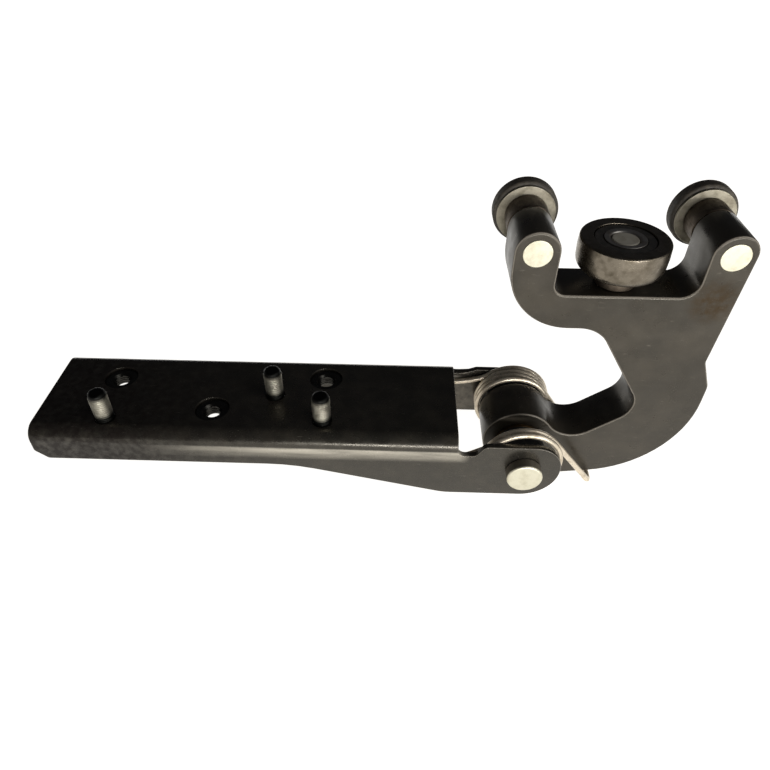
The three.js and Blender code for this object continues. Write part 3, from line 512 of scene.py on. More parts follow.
square = [(0, 0, 1), (9, 0, 1), (9, 9, 1), (0, 9, 1)]
print("a square with round corners has", len(rounded_outline(square)), "points")

# %% [markdown]
# ## Rounded plates
# The arm and the bracket are both cut from flat stock, and no real rim is a knife edge. So a plate
# is built as rings: each outline is repeated while it steps in and down over a quarter circle, on
# both faces. The rings carry a rim_wear_and_highlight value, which the paint uses to turn paler on
# the rims: partly rubbed paint, partly a painted highlight along the rounded rim.

# %% Build a plate with rounded rims
RIM_STEPS = 4
HOLE_RIM = 0.15


def signed_area(loop):
    return sum(a.x * b.y - b.x * a.y for a, b in zip(loop, loop[1:] + loop[:1])) / 2


def stepped_in(loop, inset):
    """The loop moved towards the material on its left."""
    moved = []
    for i, point in enumerate(loop):
        before = (point - loop[i - 1]).normalized()
        after = (loop[(i + 1) % len(loop)] - point).normalized()
        first = Vector((-before.y, before.x))
        second = Vector((-after.y, after.x))
        corner = (first + second).normalized()
        moved.append(point + corner * inset / max(0.3, corner.dot(first)))
    return moved


def rounded_plate(outlines, low, high, rim):
    """A plate between two levels; the first outline is its outside, the rest are holes.
    A vertex holds (x, level, y). Returns the mesh being built."""
    build = bmesh.new()
    # how far into the rim each point lies, for paler rubbed paint and a painted highlight
    rim_wear_and_highlight_layer = build.verts.layers.float.new("rim_wear_and_highlight")
    quarter = [math.pi / 2 * i / RIM_STEPS for i in range(RIM_STEPS + 1)]
    steps = [(1 - math.sin(a), 1 - math.cos(a), 1 - abs(a / math.pi * 4 - 1)) for a in quarter]
    caps = [[], []]
    for number, outline in enumerate(outlines):
        size = HOLE_RIM if number else rim
        levels = [(size * inset, low + size * rise, amount) for inset, rise, amount in steps]
        levels += [(size * inset, high - size * rise, amount) for inset, rise, amount in reversed(steps)]
        clockwise = signed_area(outline) < 0
        loop = outline[::-1] if clockwise == (number == 0) else outline
        rings = []
        for inset, level, amount in levels:
            ring = [build.verts.new((p.x, level, p.y)) for p in stepped_in(loop, inset)]
            for vertex in ring:
                vertex[rim_wear_and_highlight_layer] = 0 if number else amount
            rings.append(ring)
        for ring, following in zip(rings, rings[1:]):
            for i in range(len(ring)):
                side = build.faces.new((ring[i - 1], ring[i], following[i], following[i - 1]))
                side.smooth = True
        for cap, ring in zip(caps, (rings[0], rings[-1])):
            cap += [build.edges.get((ring[i - 1], ring[i])) for i in range(len(ring))]
    for cap in caps:
        filled = bmesh.ops.triangle_fill(build, use_beauty=True, edges=cap)
        for face in filled["geom"]:
            if isinstance(face, bmesh.types.BMFace):
                face.smooth = False
    bmesh.ops.recalc_face_normals(build, faces=build.faces)
    return build


print("a rim turns over in", RIM_STEPS, "steps")

# %% [markdown]
# Every piece ends the same way: its mesh moves into the frame, it is hung on the body that it rides
# on, and the CAD nodes that it stands for are hidden.

# %% Finish a piece


def keep_mesh(build, name):
    mesh = bpy.data.meshes.new(name)
    build.to_mesh(mesh)
    build.free()
    return mesh


def two_tone(mesh, plain, bright, is_bright):
    """Give a mesh two finishes; is_bright looks at the middle of a face."""
    mesh.materials.append(plain)
    mesh.materials.append(bright)
    for face in mesh.polygons:
        face.material_index = int(is_bright(face.center))


def finish_piece(name, mesh, material, body, slot, *nodes):
    """Put a mesh drawn in millimetres into the frame as a piece that stands for CAD nodes."""
    mesh.transform(TO_FRAME)
    piece = add_object(name, mesh)
    if material.name not in mesh.materials:
        mesh.materials.clear()
        mesh.materials.append(material)
    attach(piece, body)
    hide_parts(*nodes)
    return piece


# %% [markdown]
# ## The pressed bracket
# The real bracket starts as a flat blank that is punched, and then folded along two lines. It is
# made the same way here: the blank is a rounded plate in the plane of the sheet, its faces are cut
# along the bends, and then every point is moved to where the press would put it. The ears stand
# free of the web, behind two relief notches, so they stay flat.

# %% Bracket sizes
SHEET = 2.8
SHEET_RIM = 0.45
BEND_RADIUS = 6                                 # outside of the fold
BEND_STEPS = 12
END_CHAMFER = (5, 4.5)
END_ROUND = 2
FRONT_RELIEF_FLOOR = 7.6
REAR_RELIEF_FLOOR = 11.6
EAR_RADIUS = 15.6
EAR_TOP = 13
EAR_TOP_ROUND = 12
FLANGE_LIP = -0.5
TAPER_START = -98
TAPER_START_ROUND = 90
TAPER_END = -33
TAPER_END_ROUND = 25
FRONT_DROP = -15.6
REAR_DROP = -12.7
PIN_HOLE = 5.3
STUD_HOLE = 4.2
NUT_HOLE = 7.3
bracket_low, bracket_high = cad("bracket_channel")
FAR_END = bracket_low.x
WEB_END = -28
FLAT_FROM = WEB_END + 3                         # the sheet stays flat from here to the ears
RELIEF_END = WEB_END + 7.5
RELIEF_ROUND = 3
EAR_START = WEB_END + 11
FRONT_FACE = bracket_low.y
REAR_FACE = bracket_high.y
BEND_LENGTH = BEND_RADIUS * math.pi / 2         # along the outside of the sheet
BEND_START = WEB_TOP - BEND_RADIUS
FRONT_BEND = FRONT_FACE + BEND_RADIUS           # the flat web lies between these two
REAR_BEND = REAR_FACE - BEND_RADIUS


def blank_front(z):
    """Where height z of the front flange lies on the flat blank."""
    return FRONT_BEND - BEND_LENGTH - (BEND_START - z)


def blank_rear(z):
    return REAR_BEND + BEND_LENGTH + (BEND_START - z)


def flange_corners(drop, flat, relief_floor):
    """The corners of one flange and its ear on the blank, from the far end to the slot."""
    relief_round = min(RELIEF_ROUND, EAR_TOP - relief_floor)
    return [
        (FAR_END, flat(FLANGE_LIP + END_CHAMFER[1]), END_ROUND),
        (FAR_END + END_CHAMFER[0], flat(FLANGE_LIP), END_ROUND),
        (TAPER_START, flat(FLANGE_LIP), TAPER_START_ROUND),
        (TAPER_END, flat(drop), TAPER_END_ROUND),
        (EAR_RADIUS, flat(drop), min(EAR_RADIUS, -drop)),
        (EAR_RADIUS, flat(EAR_TOP), EAR_TOP_ROUND),
        (EAR_START, flat(EAR_TOP), relief_round),
        (RELIEF_END, flat(relief_floor), relief_round),
        (WEB_END, flat(relief_floor), relief_round),
    ]


print("the pin holes lie", round(blank_rear(0) - blank_front(0), 1), "apart on the blank")

# %% [markdown]
# Points between the two bends only turn level. Points in a bend roll round it, and points beyond
# it hang straight down. The ears never reach a bend, so they hang down too.

# %% Fold the blank


def folded(point):
    """Move a point of the blank, as (along, depth, across), to its place on the folded sheet."""
    along, depth, across = point
    if FRONT_BEND <= across <= REAR_BEND:
        return Vector((along, across, WEB_TOP - depth))
    side, bend = (-1, FRONT_BEND) if across < FRONT_BEND else (1, REAR_BEND)
    beyond = abs(across - bend)
    reach = BEND_RADIUS - depth
    if beyond >= BEND_LENGTH or along > FLAT_FROM:
        return Vector((along, bend + side * reach, BEND_START - (beyond - BEND_LENGTH)))
    angle = beyond / BEND_RADIUS
    return Vector((along, bend + side * reach * math.sin(angle), BEND_START + reach * math.cos(angle)))


def holes(prefix, radius):
    places = [middle(f"{prefix}_{number}") for number in (1, 2, 3)]
    return [circle(place.x, place.y, radius) for place in places]


def cut_along(build, axis, place):
    """Cut every face where an axis reaches a place, so the sheet has edges to bend at."""
    everything = [*build.verts, *build.edges, *build.faces]
    bmesh.ops.bisect_plane(build, geom=everything, dist=1e-4, plane_co=axis * place, plane_no=axis)


def pressed_bracket():
    outline = rounded_outline([
        *flange_corners(FRONT_DROP, blank_front, FRONT_RELIEF_FLOOR),
        *flange_corners(REAR_DROP, blank_rear, REAR_RELIEF_FLOOR)[::-1],
    ])
    pin_holes = [circle(0, blank_front(0), PIN_HOLE), circle(0, blank_rear(0), PIN_HOLE)]
    punched = [*holes("mounting_stud", STUD_HOLE), *holes("clinch_nut", NUT_HOLE), *pin_holes]
    build = rounded_plate([outline, *punched], 0, SHEET, SHEET_RIM)
    for bend, side in ((FRONT_BEND, -1), (REAR_BEND, 1)):
        for step in range(BEND_STEPS + 1):
            cut_along(build, Vector((0, 0, 1)), bend + side * BEND_LENGTH * step / BEND_STEPS)
    for place in (WEB_END, FLAT_FROM):
        cut_along(build, Vector((1, 0, 0)), place)
    for face in build.faces:
        across = face.calc_center_median().z
        in_front = FRONT_BEND - BEND_LENGTH < across < FRONT_BEND
        behind = REAR_BEND < across < REAR_BEND + BEND_LENGTH
        face.smooth = face.smooth or in_front or behind
    for vertex in build.verts:
        vertex.co = folded(vertex.co)
    bmesh.ops.recalc_face_normals(build, faces=build.faces)
    return keep_mesh(build, "bracket_pressing")


bracket = finish_piece(
    "bracket_pressing", pressed_bracket(), BRACKET_PAINT, "bracket", "black_paint", "bracket_channel",
)
print("bracket faces:", len(bracket.data.polygons))

# %% [markdown]
# ## The gooseneck arm
# The arm is cut from thick plate. Its outline is one closed line: round the barrel, up a small
# fillet onto the lower arm, round the throat, and then round the yoke with its two horns. The
# corners have radii, and the fillet beside the barrel is the one circle that touches both the
# barrel and the lower arm's straight top edge.

# %% Arm outline
arm_low, arm_high = cad("roller_arm")
ARM_THICKNESS = arm_high.y - arm_low.y
ARM_RIM = 0.9
BARREL_RADIUS = -arm_low.x
BARREL_BORE = 7.0
BARREL_FILLET = 12
LOWER_ARM_SLOPE = math.radians(36.6)
THROAT = Vector((48.4, 20.1))
THROAT_ROUND = 10
NECK_TOP_X = 22.65
NECK_ROUND = 14
YOKE_UNDERSIDE = 60.3
YOKE_CORNER_ROUND = 24.5
YOKE_FLOOR = 75.2
POCKET_ROUNDS = (4.5, 6.5)                      # beside the left horn and beside the right one
HORN_RADIUS = 8.25
LEFT_HORN = Vector((middle("guide_pin_left").x, middle("guide_pin_left").z))
RIGHT_HORN = Vector((middle("guide_pin_right").x, middle("guide_pin_right").z))
RIGHT_HORN_ROUND = HORN_RADIUS - 0.6
GUIDE_BORE = 5.36
WAIST = (67.6, 45.5)
WAIST_ROUND = 4
BULGE_TOP = 33
BULGE_TOP_ROUND = 8
BULGE = Vector((72.6, -13.6))
BULGE_ROUND = 44
HEEL = Vector((14.5, -21.7))
HEEL_ROUND = 5


def barrel_side():
    """The outline from the heel's tangent round the barrel and up the fillet, clockwise."""
    along = Vector((math.cos(LOWER_ARM_SLOPE), math.sin(LOWER_ARM_SLOPE)))
    above = Vector((-along.y, along.x))
    base = THROAT + above * BARREL_FILLET
    reach = BARREL_RADIUS + BARREL_FILLET
    half = math.sqrt(base.dot(along) ** 2 - base.length_squared + reach ** 2)
    centre = base + along * (half - base.dot(along))
    touch = math.atan2(centre.y, centre.x)
    below = math.atan2(HEEL.y, HEEL.x) - math.acos(BARREL_RADIUS / HEEL.length)
    round_barrel = arc(Vector((0, 0)), BARREL_RADIUS, below, touch - below - math.tau)
    line_touch = math.atan2(-above.y, -above.x)
    turn = (line_touch - (touch + math.pi)) % math.tau
    return round_barrel + arc(centre, BARREL_FILLET, touch + math.pi, turn)


def arm_outline():
    left_in, left_out = LEFT_HORN.x + HORN_RADIUS, LEFT_HORN.x - HORN_RADIUS
    right_in, right_out = RIGHT_HORN.x - HORN_RADIUS, RIGHT_HORN.x + HORN_RADIUS
    horn_top = LEFT_HORN.y + HORN_RADIUS
    side = barrel_side()
    corners = [
        (*side[-1], 0),
        (*THROAT, THROAT_ROUND),
        (NECK_TOP_X, YOKE_UNDERSIDE, NECK_ROUND),
        (left_out, YOKE_UNDERSIDE, YOKE_CORNER_ROUND),
        (left_out, horn_top, HORN_RADIUS),
        (left_in, horn_top, HORN_RADIUS),
        (left_in, YOKE_FLOOR, POCKET_ROUNDS[0]),
        (right_in, YOKE_FLOOR, POCKET_ROUNDS[1]),
        (right_in, horn_top, HORN_RADIUS),
        (right_out, horn_top, RIGHT_HORN_ROUND),
        (*WAIST, WAIST_ROUND),
        (BULGE.x, BULGE_TOP, BULGE_TOP_ROUND),
        (*BULGE, BULGE_ROUND),
        (*HEEL, HEEL_ROUND),
        (*side[0], 0),
    ]
    return apart(side + rounded_outline(corners))


def plate_arm():
    guide_bores = [circle(*horn, GUIDE_BORE) for horn in (LEFT_HORN, RIGHT_HORN)]
    barrel_bore = circle(0, 0, BARREL_BORE)
    build = rounded_plate([arm_outline(), barrel_bore, *guide_bores], 0, ARM_THICKNESS, ARM_RIM)
    return keep_mesh(build, "gooseneck_arm")


arm = finish_piece("gooseneck_arm", plate_arm(), ARM_PAINT, "arm", "arm_paint", "roller_arm")
print("arm faces:", len(arm.data.polygons))

# %% [markdown]
# ## Turned pieces
# Pins, washers, bushes, races and rollers are all made on a lathe, so one helper turns a profile
# about its axis. A profile is a closed outline of (radius, height, corner radius), and corners on
# the axis simply close the end.

# %% The lathe
LATHE_FACETS = 96
SHARP_ANGLE = math.radians(35)


def lathe(profile, centre, upright):
    """Turn a profile about Y through (x, z), or about Z through (x, y) if upright."""
    outline = rounded_outline(profile)
    build = bmesh.new()

    def spot(radius, height, angle):
        side = (centre[0] + radius * math.cos(angle), centre[1] + radius * math.sin(angle))
        return (*side, height) if upright else (side[0], height, side[1])

    rings = []
    for radius, height in outline:
        count = 1 if radius < 1e-5 else LATHE_FACETS
        angles = [math.tau * i / LATHE_FACETS for i in range(count)]
        rings.append([build.verts.new(spot(radius, height, angle)) for angle in angles])
    for i, ring in enumerate(rings):
        before = rings[i - 1]
        if len(ring) == 1 and len(before) == 1:
            continue
        for step in range(LATHE_FACETS):
            following = (step + 1) % LATHE_FACETS
            corners = [before[step % len(before)], before[following % len(before)]]
            corners += [ring[following % len(ring)], ring[step % len(ring)]]
            build.faces.new(list(dict.fromkeys(corners))).smooth = True
    bmesh.ops.recalc_face_normals(build, faces=build.faces)
    return build


def ring_profile(inner, outer, low, high, edge):
    return [(inner, low, edge), (outer, low, edge), (outer, high, edge), (inner, high, edge)]


def turned_piece(name, profile, node, material, body, slot, upright=False, bright=None):
    """Turn a piece on its CAD node's own axis. A second finish comes with a test, as bright."""
    place = middle(node)
    centre = (place.x, place.y) if upright else (place.x, place.z)
    mesh = keep_mesh(lathe(profile, centre, upright), name)
    if bright:
        two_tone(mesh, material, *bright)
    mesh.set_sharp_from_angle(angle=SHARP_ANGLE)
    return finish_piece(name, mesh, material, body, slot, node)


def span(node, axis="y"):
    """A turned node's radius and its two ends along its axis."""
    low, high = cad(node)
    return (high.x - low.x) / 2, getattr(low, axis), getattr(high, axis)


def turned_ring(name, inner, edge, node, *looks):
    """Turn a plain ring as wide and as long as its CAD node, with a hole of radius inner."""
    return turned_piece(name, ring_profile(inner, *span(node), edge), node, *looks)


print("facets round a turned piece:", LATHE_FACETS)

# %% [markdown]
# The hinge pin has a wide head in front, and a groove behind for its clip. The head's front face is
# painted pale as painted light, and the rest of the pin is a darker copy of the same zinc as painted
# shade. Spacers and flanged bushes keep the springs and the arm in their places along it.

# %% Hinge pin and its fittings
PIN_RADIUS = 5.0
CLIP_GROOVE = 3.9
BUSH_SLEEVE = 6.7
CLEARANCE = 0.3


def hinge_pin():
    radius, front, tail = span("hinge_pin")
    head_back = FRONT_FACE - CLEARANCE
    _, clip_low, clip_high = span("retaining_clip")
    # the head's front face gets the painted light, and the rest of the pin the painted shade
    return turned_piece("pin_with_head", [
        (0, front, 0), (radius, front, 0.9), (radius, head_back, 0.3),
        (PIN_RADIUS, head_back, 0), (PIN_RADIUS, clip_low - CLEARANCE, 0.1),
        (CLIP_GROOVE, clip_low - CLEARANCE, 0.1), (CLIP_GROOVE, clip_high + CLEARANCE, 0.1),
        (PIN_RADIUS, clip_high + CLEARANCE, 0.1), (PIN_RADIUS, tail, 0.8), (0, tail, 0),
    ], "hinge_pin", PIN_PAINTED_SHADE, "bracket", "zinc_steel",
        bright=(ZINC_PAINTED_LIT, lambda spot: spot.y < front + 0.7))


def pivot_bush(side, face, inward):
    radius, low, high = span(f"pivot_bush_{side}")
    flange_end = face - inward * CLEARANCE
    outside, deep = (low, high) if inward > 0 else (high, low)
    return turned_piece(f"flanged_bush_{side}", [
        (PIN_RADIUS + CLEARANCE, outside, 0.2), (radius, outside, 0.3), (radius, flange_end, 0.2),
        (BUSH_SLEEVE, flange_end, 0), (BUSH_SLEEVE, deep, 0.3), (PIN_RADIUS + CLEARANCE, deep, 0.2),
    ], f"pivot_bush_{side}", BUSH_BRONZE, "arm", "bronze")


def on_pin(name, edge, node, *looks):
    """A ring that slips over the hinge pin."""
    return turned_ring(name, PIN_RADIUS + CLEARANCE, edge, node, *looks)


fittings = [hinge_pin()]
fittings.append(on_pin("pin_washer", 0.3, "hinge_washer", WASHER_STEEL, "bracket", "zinc_steel"))
fittings.append(pivot_bush("front", 0, 1))
fittings.append(pivot_bush("rear", ARM_THICKNESS, -1))
for side in ("front", "rear"):
    looks = (SPACER_NYLON, "bracket", "black_nylon")
    fittings.append(on_pin(f"spacer_sleeve_{side}", 0.6, f"spring_spacer_{side}", *looks))
print("hinge fittings:", len(fittings))

# %% [markdown]
# The clip is a flat spring ring with a mouth, pushed into the groove from above. It is a plate
# like the arm, with an outer arc and an inner arc.

# %% Retaining clip
CLIP_INSIDE = 4.2
CLIP_RIM = 0.2
HALF_MOUTH = math.radians(38)


def clip_outline():
    start = -math.pi / 2 + HALF_MOUTH
    sweep = math.tau - 2 * HALF_MOUTH
    outside = arc(Vector((0, 0)), span("retaining_clip")[0], start, sweep)
    inside = arc(Vector((0, 0)), CLIP_INSIDE, start, sweep)
    return outside + inside[::-1]


_, clip_low, clip_high = span("retaining_clip")
clip = rounded_plate([clip_outline()], clip_low, clip_high, CLIP_RIM)
finish_piece(
    "spring_clip", keep_mesh(clip, "spring_clip"), DULL_STEEL, "bracket", "dull_steel", "retaining_clip",
)
print("clip between", round(clip_low, 2), "and", round(clip_high, 2))

# %% [markdown]
# ## Geometry Nodes: thread, wire and balls
# Three things repeat or follow a line, and each gets a small node tree with named sizes. A thread
# is a sharp tooth swept along a helix. A spring is a round wire swept along its own line. A
# bearing's balls are copies on a circle. Threads and balls are joined to the mesh that the tree is
# given, and the wire takes the place of its line.

# %% Tree helpers


class Tree:
    """A Geometry Nodes tree that takes a mesh and named sizes, and ends in a real mesh."""

    def __init__(self, name, sizes):
        self.group = bpy.data.node_groups.new(name, "GeometryNodeTree")
        face = self.group.interface
        face.new_socket("Geometry", in_out="INPUT", socket_type="NodeSocketGeometry")
        self.sockets = {}
        for label, kind in sizes.items():
            item = face.new_socket(label, in_out="INPUT", socket_type=kind)
            self.sockets[label] = item.identifier
        face.new_socket("Geometry", in_out="OUTPUT", socket_type="NodeSocketGeometry")
        self.source = self.group.nodes.new("NodeGroupInput")
        self.result = self.group.nodes.new("NodeGroupOutput")

    def add(self, kind, inputs=(), **settings):
        """Add a node; an input is a value, an output, or the name of one of the tree's sizes."""
        node = self.group.nodes.new(kind)
        for name, value in settings.items():
            setattr(node, name, value)
        for name, value in dict(inputs).items():
            if isinstance(value, bpy.types.NodeSocket):
                self.group.links.new(value, node.inputs[name])
            elif isinstance(value, str):
                self.group.links.new(self.source.outputs[value], node.inputs[name])
            else:
                node.inputs[name].default_value = value
        return node

    def finish(self, geometry, joined=True):
        pieces = geometry
        if joined:
            join = self.add("GeometryNodeJoinGeometry")
            self.group.links.new(geometry, join.inputs[0])
            self.group.links.new(self.source.outputs["Geometry"], join.inputs[0])
            pieces = join.outputs[0]
        real = self.add("GeometryNodeRealizeInstances", {"Geometry": pieces})
        paint = self.add("GeometryNodeSetMaterial", {"Geometry": real.outputs[0], "Material": "Finish"})
        self.group.links.new(paint.outputs[0], self.result.inputs[0])

    def run(self, mesh, **values):
        """Run the tree on a mesh and return the plain mesh that comes out."""
        helper = add_object("helper", mesh)
        modifier = helper.modifiers.new("tree", "NODES")
        modifier.node_group = self.group
        for label, value in values.items():
            modifier[self.sockets[label]] = value
        graph = bpy.context.evaluated_depsgraph_get()
        made = bpy.data.meshes.new_from_object(helper.evaluated_get(graph))
        bpy.data.objects.remove(helper)
        return made


print("a tree can:", [name for name in vars(Tree) if not name.startswith("_")])

# %% [markdown]
# The thread's tooth is a circle of four points, which makes a sharp ridge. Wire and balls are
# shaded smooth.

# %% The three trees


def screw_thread():
    tree = Tree("screw_thread", {
        "Turns": "NodeSocketFloat", "Radius": "NodeSocketFloat", "Length": "NodeSocketFloat",
        "Tooth": "NodeSocketFloat", "Place": "NodeSocketVector", "Finish": "NodeSocketMaterial",
    })
    helix = tree.add("GeometryNodeCurveSpiral", {
        "Resolution": 40, "Rotations": "Turns", "Start Radius": "Radius", "End Radius": "Radius",
        "Height": "Length",
    })
    upright = tree.add("GeometryNodeSetCurveNormal", {"Curve": helix.outputs[0]}, mode="Z_UP")
    tooth = tree.add("GeometryNodeCurvePrimitiveCircle", {"Resolution": 4, "Radius": "Tooth"})
    swept = tree.add("GeometryNodeCurveToMesh", {
        "Curve": upright.outputs[0], "Profile Curve": tooth.outputs[0], "Fill Caps": True,
    })
    moved = tree.add("GeometryNodeTransform", {"Geometry": swept.outputs[0], "Translation": "Place"})
    tree.finish(moved.outputs[0])
    return tree


def drawn_wire():
    tree = Tree("drawn_wire", {"Wire radius": "NodeSocketFloat", "Finish": "NodeSocketMaterial"})
    line = tree.add("GeometryNodeMeshToCurve", {"Mesh": "Geometry"})
    section = tree.add("GeometryNodeCurvePrimitiveCircle", {"Resolution": 16, "Radius": "Wire radius"})
    swept = tree.add("GeometryNodeCurveToMesh", {
        "Curve": line.outputs[0], "Profile Curve": section.outputs[0], "Fill Caps": True,
    })
    smooth = tree.add("GeometryNodeSetShadeSmooth", {"Geometry": swept.outputs[0]})
    tree.finish(smooth.outputs[0], joined=False)
    return tree


def ball_ring():
    tree = Tree("ball_ring", {
        "Balls": "NodeSocketInt", "Circle radius": "NodeSocketFloat", "Ball radius": "NodeSocketFloat",
        "Place": "NodeSocketVector", "Lean": "NodeSocketVector", "Finish": "NodeSocketMaterial",
    })
    round_track = tree.add("GeometryNodeMeshCircle", {"Vertices": "Balls", "Radius": "Circle radius"})
    ball = tree.add("GeometryNodeMeshUVSphere", {"Segments": 24, "Rings": 12, "Radius": "Ball radius"})
    smooth = tree.add("GeometryNodeSetShadeSmooth", {"Geometry": ball.outputs[0]})
    copies = tree.add("GeometryNodeInstanceOnPoints", {
        "Points": round_track.outputs[0], "Instance": smooth.outputs[0],
    })
    moved = tree.add("GeometryNodeTransform", {
        "Geometry": copies.outputs[0], "Translation": "Place", "Rotation": "Lean",
    })
    tree.finish(moved.outputs[0])
    return tree


THREAD = screw_thread()
WIRE = drawn_wire()
BALLS = ball_ring()
print("trees:", [tree.group.name for tree in (THREAD, WIRE, BALLS)])

# %% [markdown]
# ## Studs and clinch nuts
# Three threaded studs stand up out of the web, pressed in from below. Three clinch nuts sit a
# little below the web's top, so each hole shows as a dark ring with a thread inside.

# %% Studs
PITCH = 1.0
TOOTH = 0.42
STUD_SHANK = 3.9
STUD_HEAD = 4.5
NUT_BORE = 3.4
HEAD_TOP = WEB_TOP - SHEET - CLEARANCE          # heads and flanges sit under the web


def threaded(name, node, profile, radius, first, length, material, slot):
    """Turn an upright piece and cut a thread along it, from the height first."""
    place = middle(node)
    mesh = keep_mesh(lathe(profile, (place.x, place.y), True), node)
    mesh.set_sharp_from_angle(angle=SHARP_ANGLE)
    made = THREAD.run(mesh, **{
        "Turns": length / PITCH, "Radius": radius, "Length": length, "Tooth": TOOTH,
        "Place": (place.x, place.y, first), "Finish": material,
    })
    return finish_piece(name, made, material, "bracket", slot, node)


def mounting_stud(number):
    node = f"mounting_stud_{number}"
    _, low, tip = span(node, "z")
    core = STUD_SHANK - TOOTH * 0.75
    first = WEB_TOP + 1.2
    profile = [
        (0, low, 0), (STUD_HEAD, low, 0.3), (STUD_HEAD, HEAD_TOP, 0.3), (STUD_SHANK, HEAD_TOP, 0),
        (STUD_SHANK, WEB_TOP + 0.6, 0.2), (core, WEB_TOP + 0.9, 0.1), (core, tip, 1.4), (0, tip, 0),
    ]
    return threaded(
        f"threaded_stud_{number}", node, profile, core - 0.1, first, tip - 2.0 - first, STUD_ZINC,
        "zinc_steel",
    )


def clinch_nut(number):
    node = f"clinch_nut_{number}"
    flange, low, top = span(node, "z")
    shank = NUT_HOLE - CLEARANCE + 0.15
    profile = [
        (NUT_BORE, low, 0.3), (flange, low, 0.4), (flange, HEAD_TOP, 0.3), (shank, HEAD_TOP, 0),
        (shank, top, 0.4), (NUT_BORE + 1.0, top, 0.3), (NUT_BORE, top - 0.9, 0.2),
    ]
    return threaded(
        f"threaded_nut_{number}", node, profile, NUT_BORE + 0.1, low + 0.4, top - low - 1.6, NUT_STEEL,
        "dull_steel",
    )


screws = [make(number) for number in (1, 2, 3) for make in (mounting_stud, clinch_nut)]
print("threads cut on", len(screws), "pieces")

# %% [markdown]
# ## Torsion springs
# Each spring starts as a hook under the arm's lower edge, climbs the arm's side, winds towards its
# ear and ends in a leg under the web. The wire's line is worked out here, and the wire tree gives
# it its thickness.

# %% Spring line
WIRE_RADIUS = 1.25
COIL_RADIUS = 16.1
COIL_PITCH = 2 * WIRE_RADIUS + 0.1
LEAVE = 35                                      # degrees above +X where the arm's leg starts
WEB_LEG_REACH = 14
WEB_LEG_START = 6                               # at most this far past the web's end
HOOK_X = 35
HOOK_DROP = 1.2
HOOK_LENGTH = 9
LEG_OFF_ARM = 2.6
LEG_SHARES = (0.96, 0.8, 0.55, 0.28)            # guide points down the leg, from hook to coil
COIL_STEP = 15                                  # degrees between guide points on the coil
FALL_SHARE = 0.55                               # how far down the wire is still straight
FOOT_CURVE = 3


def on_coil(degrees, y):
    angle = math.radians(degrees)
    return Vector((COIL_RADIUS * math.cos(angle), y, COIL_RADIUS * math.sin(angle)))


def smooth_line(points, steps=8):
    """A Catmull-Rom curve through the points, centripetal so that it makes no loops."""
    ends = [2 * points[0] - points[1], *points, 2 * points[-1] - points[-2]]
    line = []
    for a, b, c, d in zip(ends, ends[1:], ends[2:], ends[3:]):
        t0, t1 = 0, (b - a).length ** 0.5
        t2 = t1 + (c - b).length ** 0.5
        t3 = t2 + (d - c).length ** 0.5
        for step in range(steps):
            t = t1 + (t2 - t1) * step / steps
            first = a.lerp(b, (t - t0) / (t1 - t0))
            second = b.lerp(c, (t - t1) / (t2 - t1))
            third = c.lerp(d, (t - t2) / (t3 - t2))
            left = first.lerp(second, (t - t0) / (t2 - t0))
            right = second.lerp(third, (t - t1) / (t3 - t1))
            line.append(left.lerp(right, (t - t1) / (t2 - t1)))
    return [*line, points[-1]]


def spring_line(face, ear_inside, turns, away, leg_height):
    """The wire's middle line; away is -1 for the front spring and 1 for the rear one."""
    last_turn = ear_inside - away * (WIRE_RADIUS + CLEARANCE)
    first_turn = last_turn - away * COIL_PITCH * turns
    slope = math.radians(LEAVE)
    start = on_coil(LEAVE, first_turn)
    down = Vector((math.sin(slope), 0, -math.cos(slope)))
    underside = HEEL.y + (HOOK_X - HEEL.x) * (BULGE.y - HEEL.y) / (BULGE.x - HEEL.x)
    leg = (start.z - (underside - WIRE_RADIUS - HOOK_DROP)) / math.cos(slope)
    beside = face + away * (WIRE_RADIUS + LEG_OFF_ARM)
    foot = start + down * leg
    hook = (face - away * HOOK_LENGTH, face - away * HOOK_LENGTH / 3, face + away * WIRE_RADIUS)
    points = [Vector((foot.x, y, foot.z)) for y in hook]
    for share in LEG_SHARES:
        point = start + down * leg * share
        point.y = first_turn + (beside - first_turn) * share
        points.append(point)
    sweep = 360 * turns
    for step in range(int(sweep // COIL_STEP) + 1):
        turned = COIL_STEP * step
        points.append(on_coil(LEAVE + turned, first_turn + away * COIL_PITCH * turned / 360))
    last = math.radians(LEAVE + sweep)
    coil_end = on_coil(LEAVE + sweep, last_turn)
    onwards = Vector((-math.sin(last), 0, math.cos(last)))
    fall = (coil_end.z - leg_height) / -onwards.z
    points.append(coil_end + onwards * fall * FALL_SHARE)
    level_from = min(coil_end.x + onwards.x * fall, WEB_END + WEB_LEG_START) - FOOT_CURVE
    for x in (level_from, WEB_END - WEB_LEG_REACH / 2, WEB_END - WEB_LEG_REACH):
        points.append(Vector((x, last_turn, leg_height)))
    return smooth_line(points), first_turn, last_turn


def torsion_spring(side, face, ear_inside, turns, away, leg_height):
    line, first_turn, last_turn = spring_line(face, ear_inside, turns, away, leg_height)
    path = bpy.data.meshes.new(f"spring_path_{side}")
    path.from_pydata(line, [(i, i + 1) for i in range(len(line) - 1)], [])
    made = WIRE.run(path, **{"Wire radius": WIRE_RADIUS, "Finish": SPRING_WIRE})
    made.transform(TO_FRAME)
    spring = add_object(f"coiled_spring_{side}", made)
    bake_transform(spring)
    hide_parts(f"torsion_spring_{side}")
    return spring


front_spring = torsion_spring(
    "front", 0, FRONT_FACE + SHEET, turns=1.25, away=-1, leg_height=2.5,
)
rear_spring = torsion_spring(
    "rear", ARM_THICKNESS, REAR_FACE - SHEET, turns=3.25, away=1, leg_height=7.2,
)
print("spring faces:", len(front_spring.data.polygons), len(rear_spring.data.polygons))

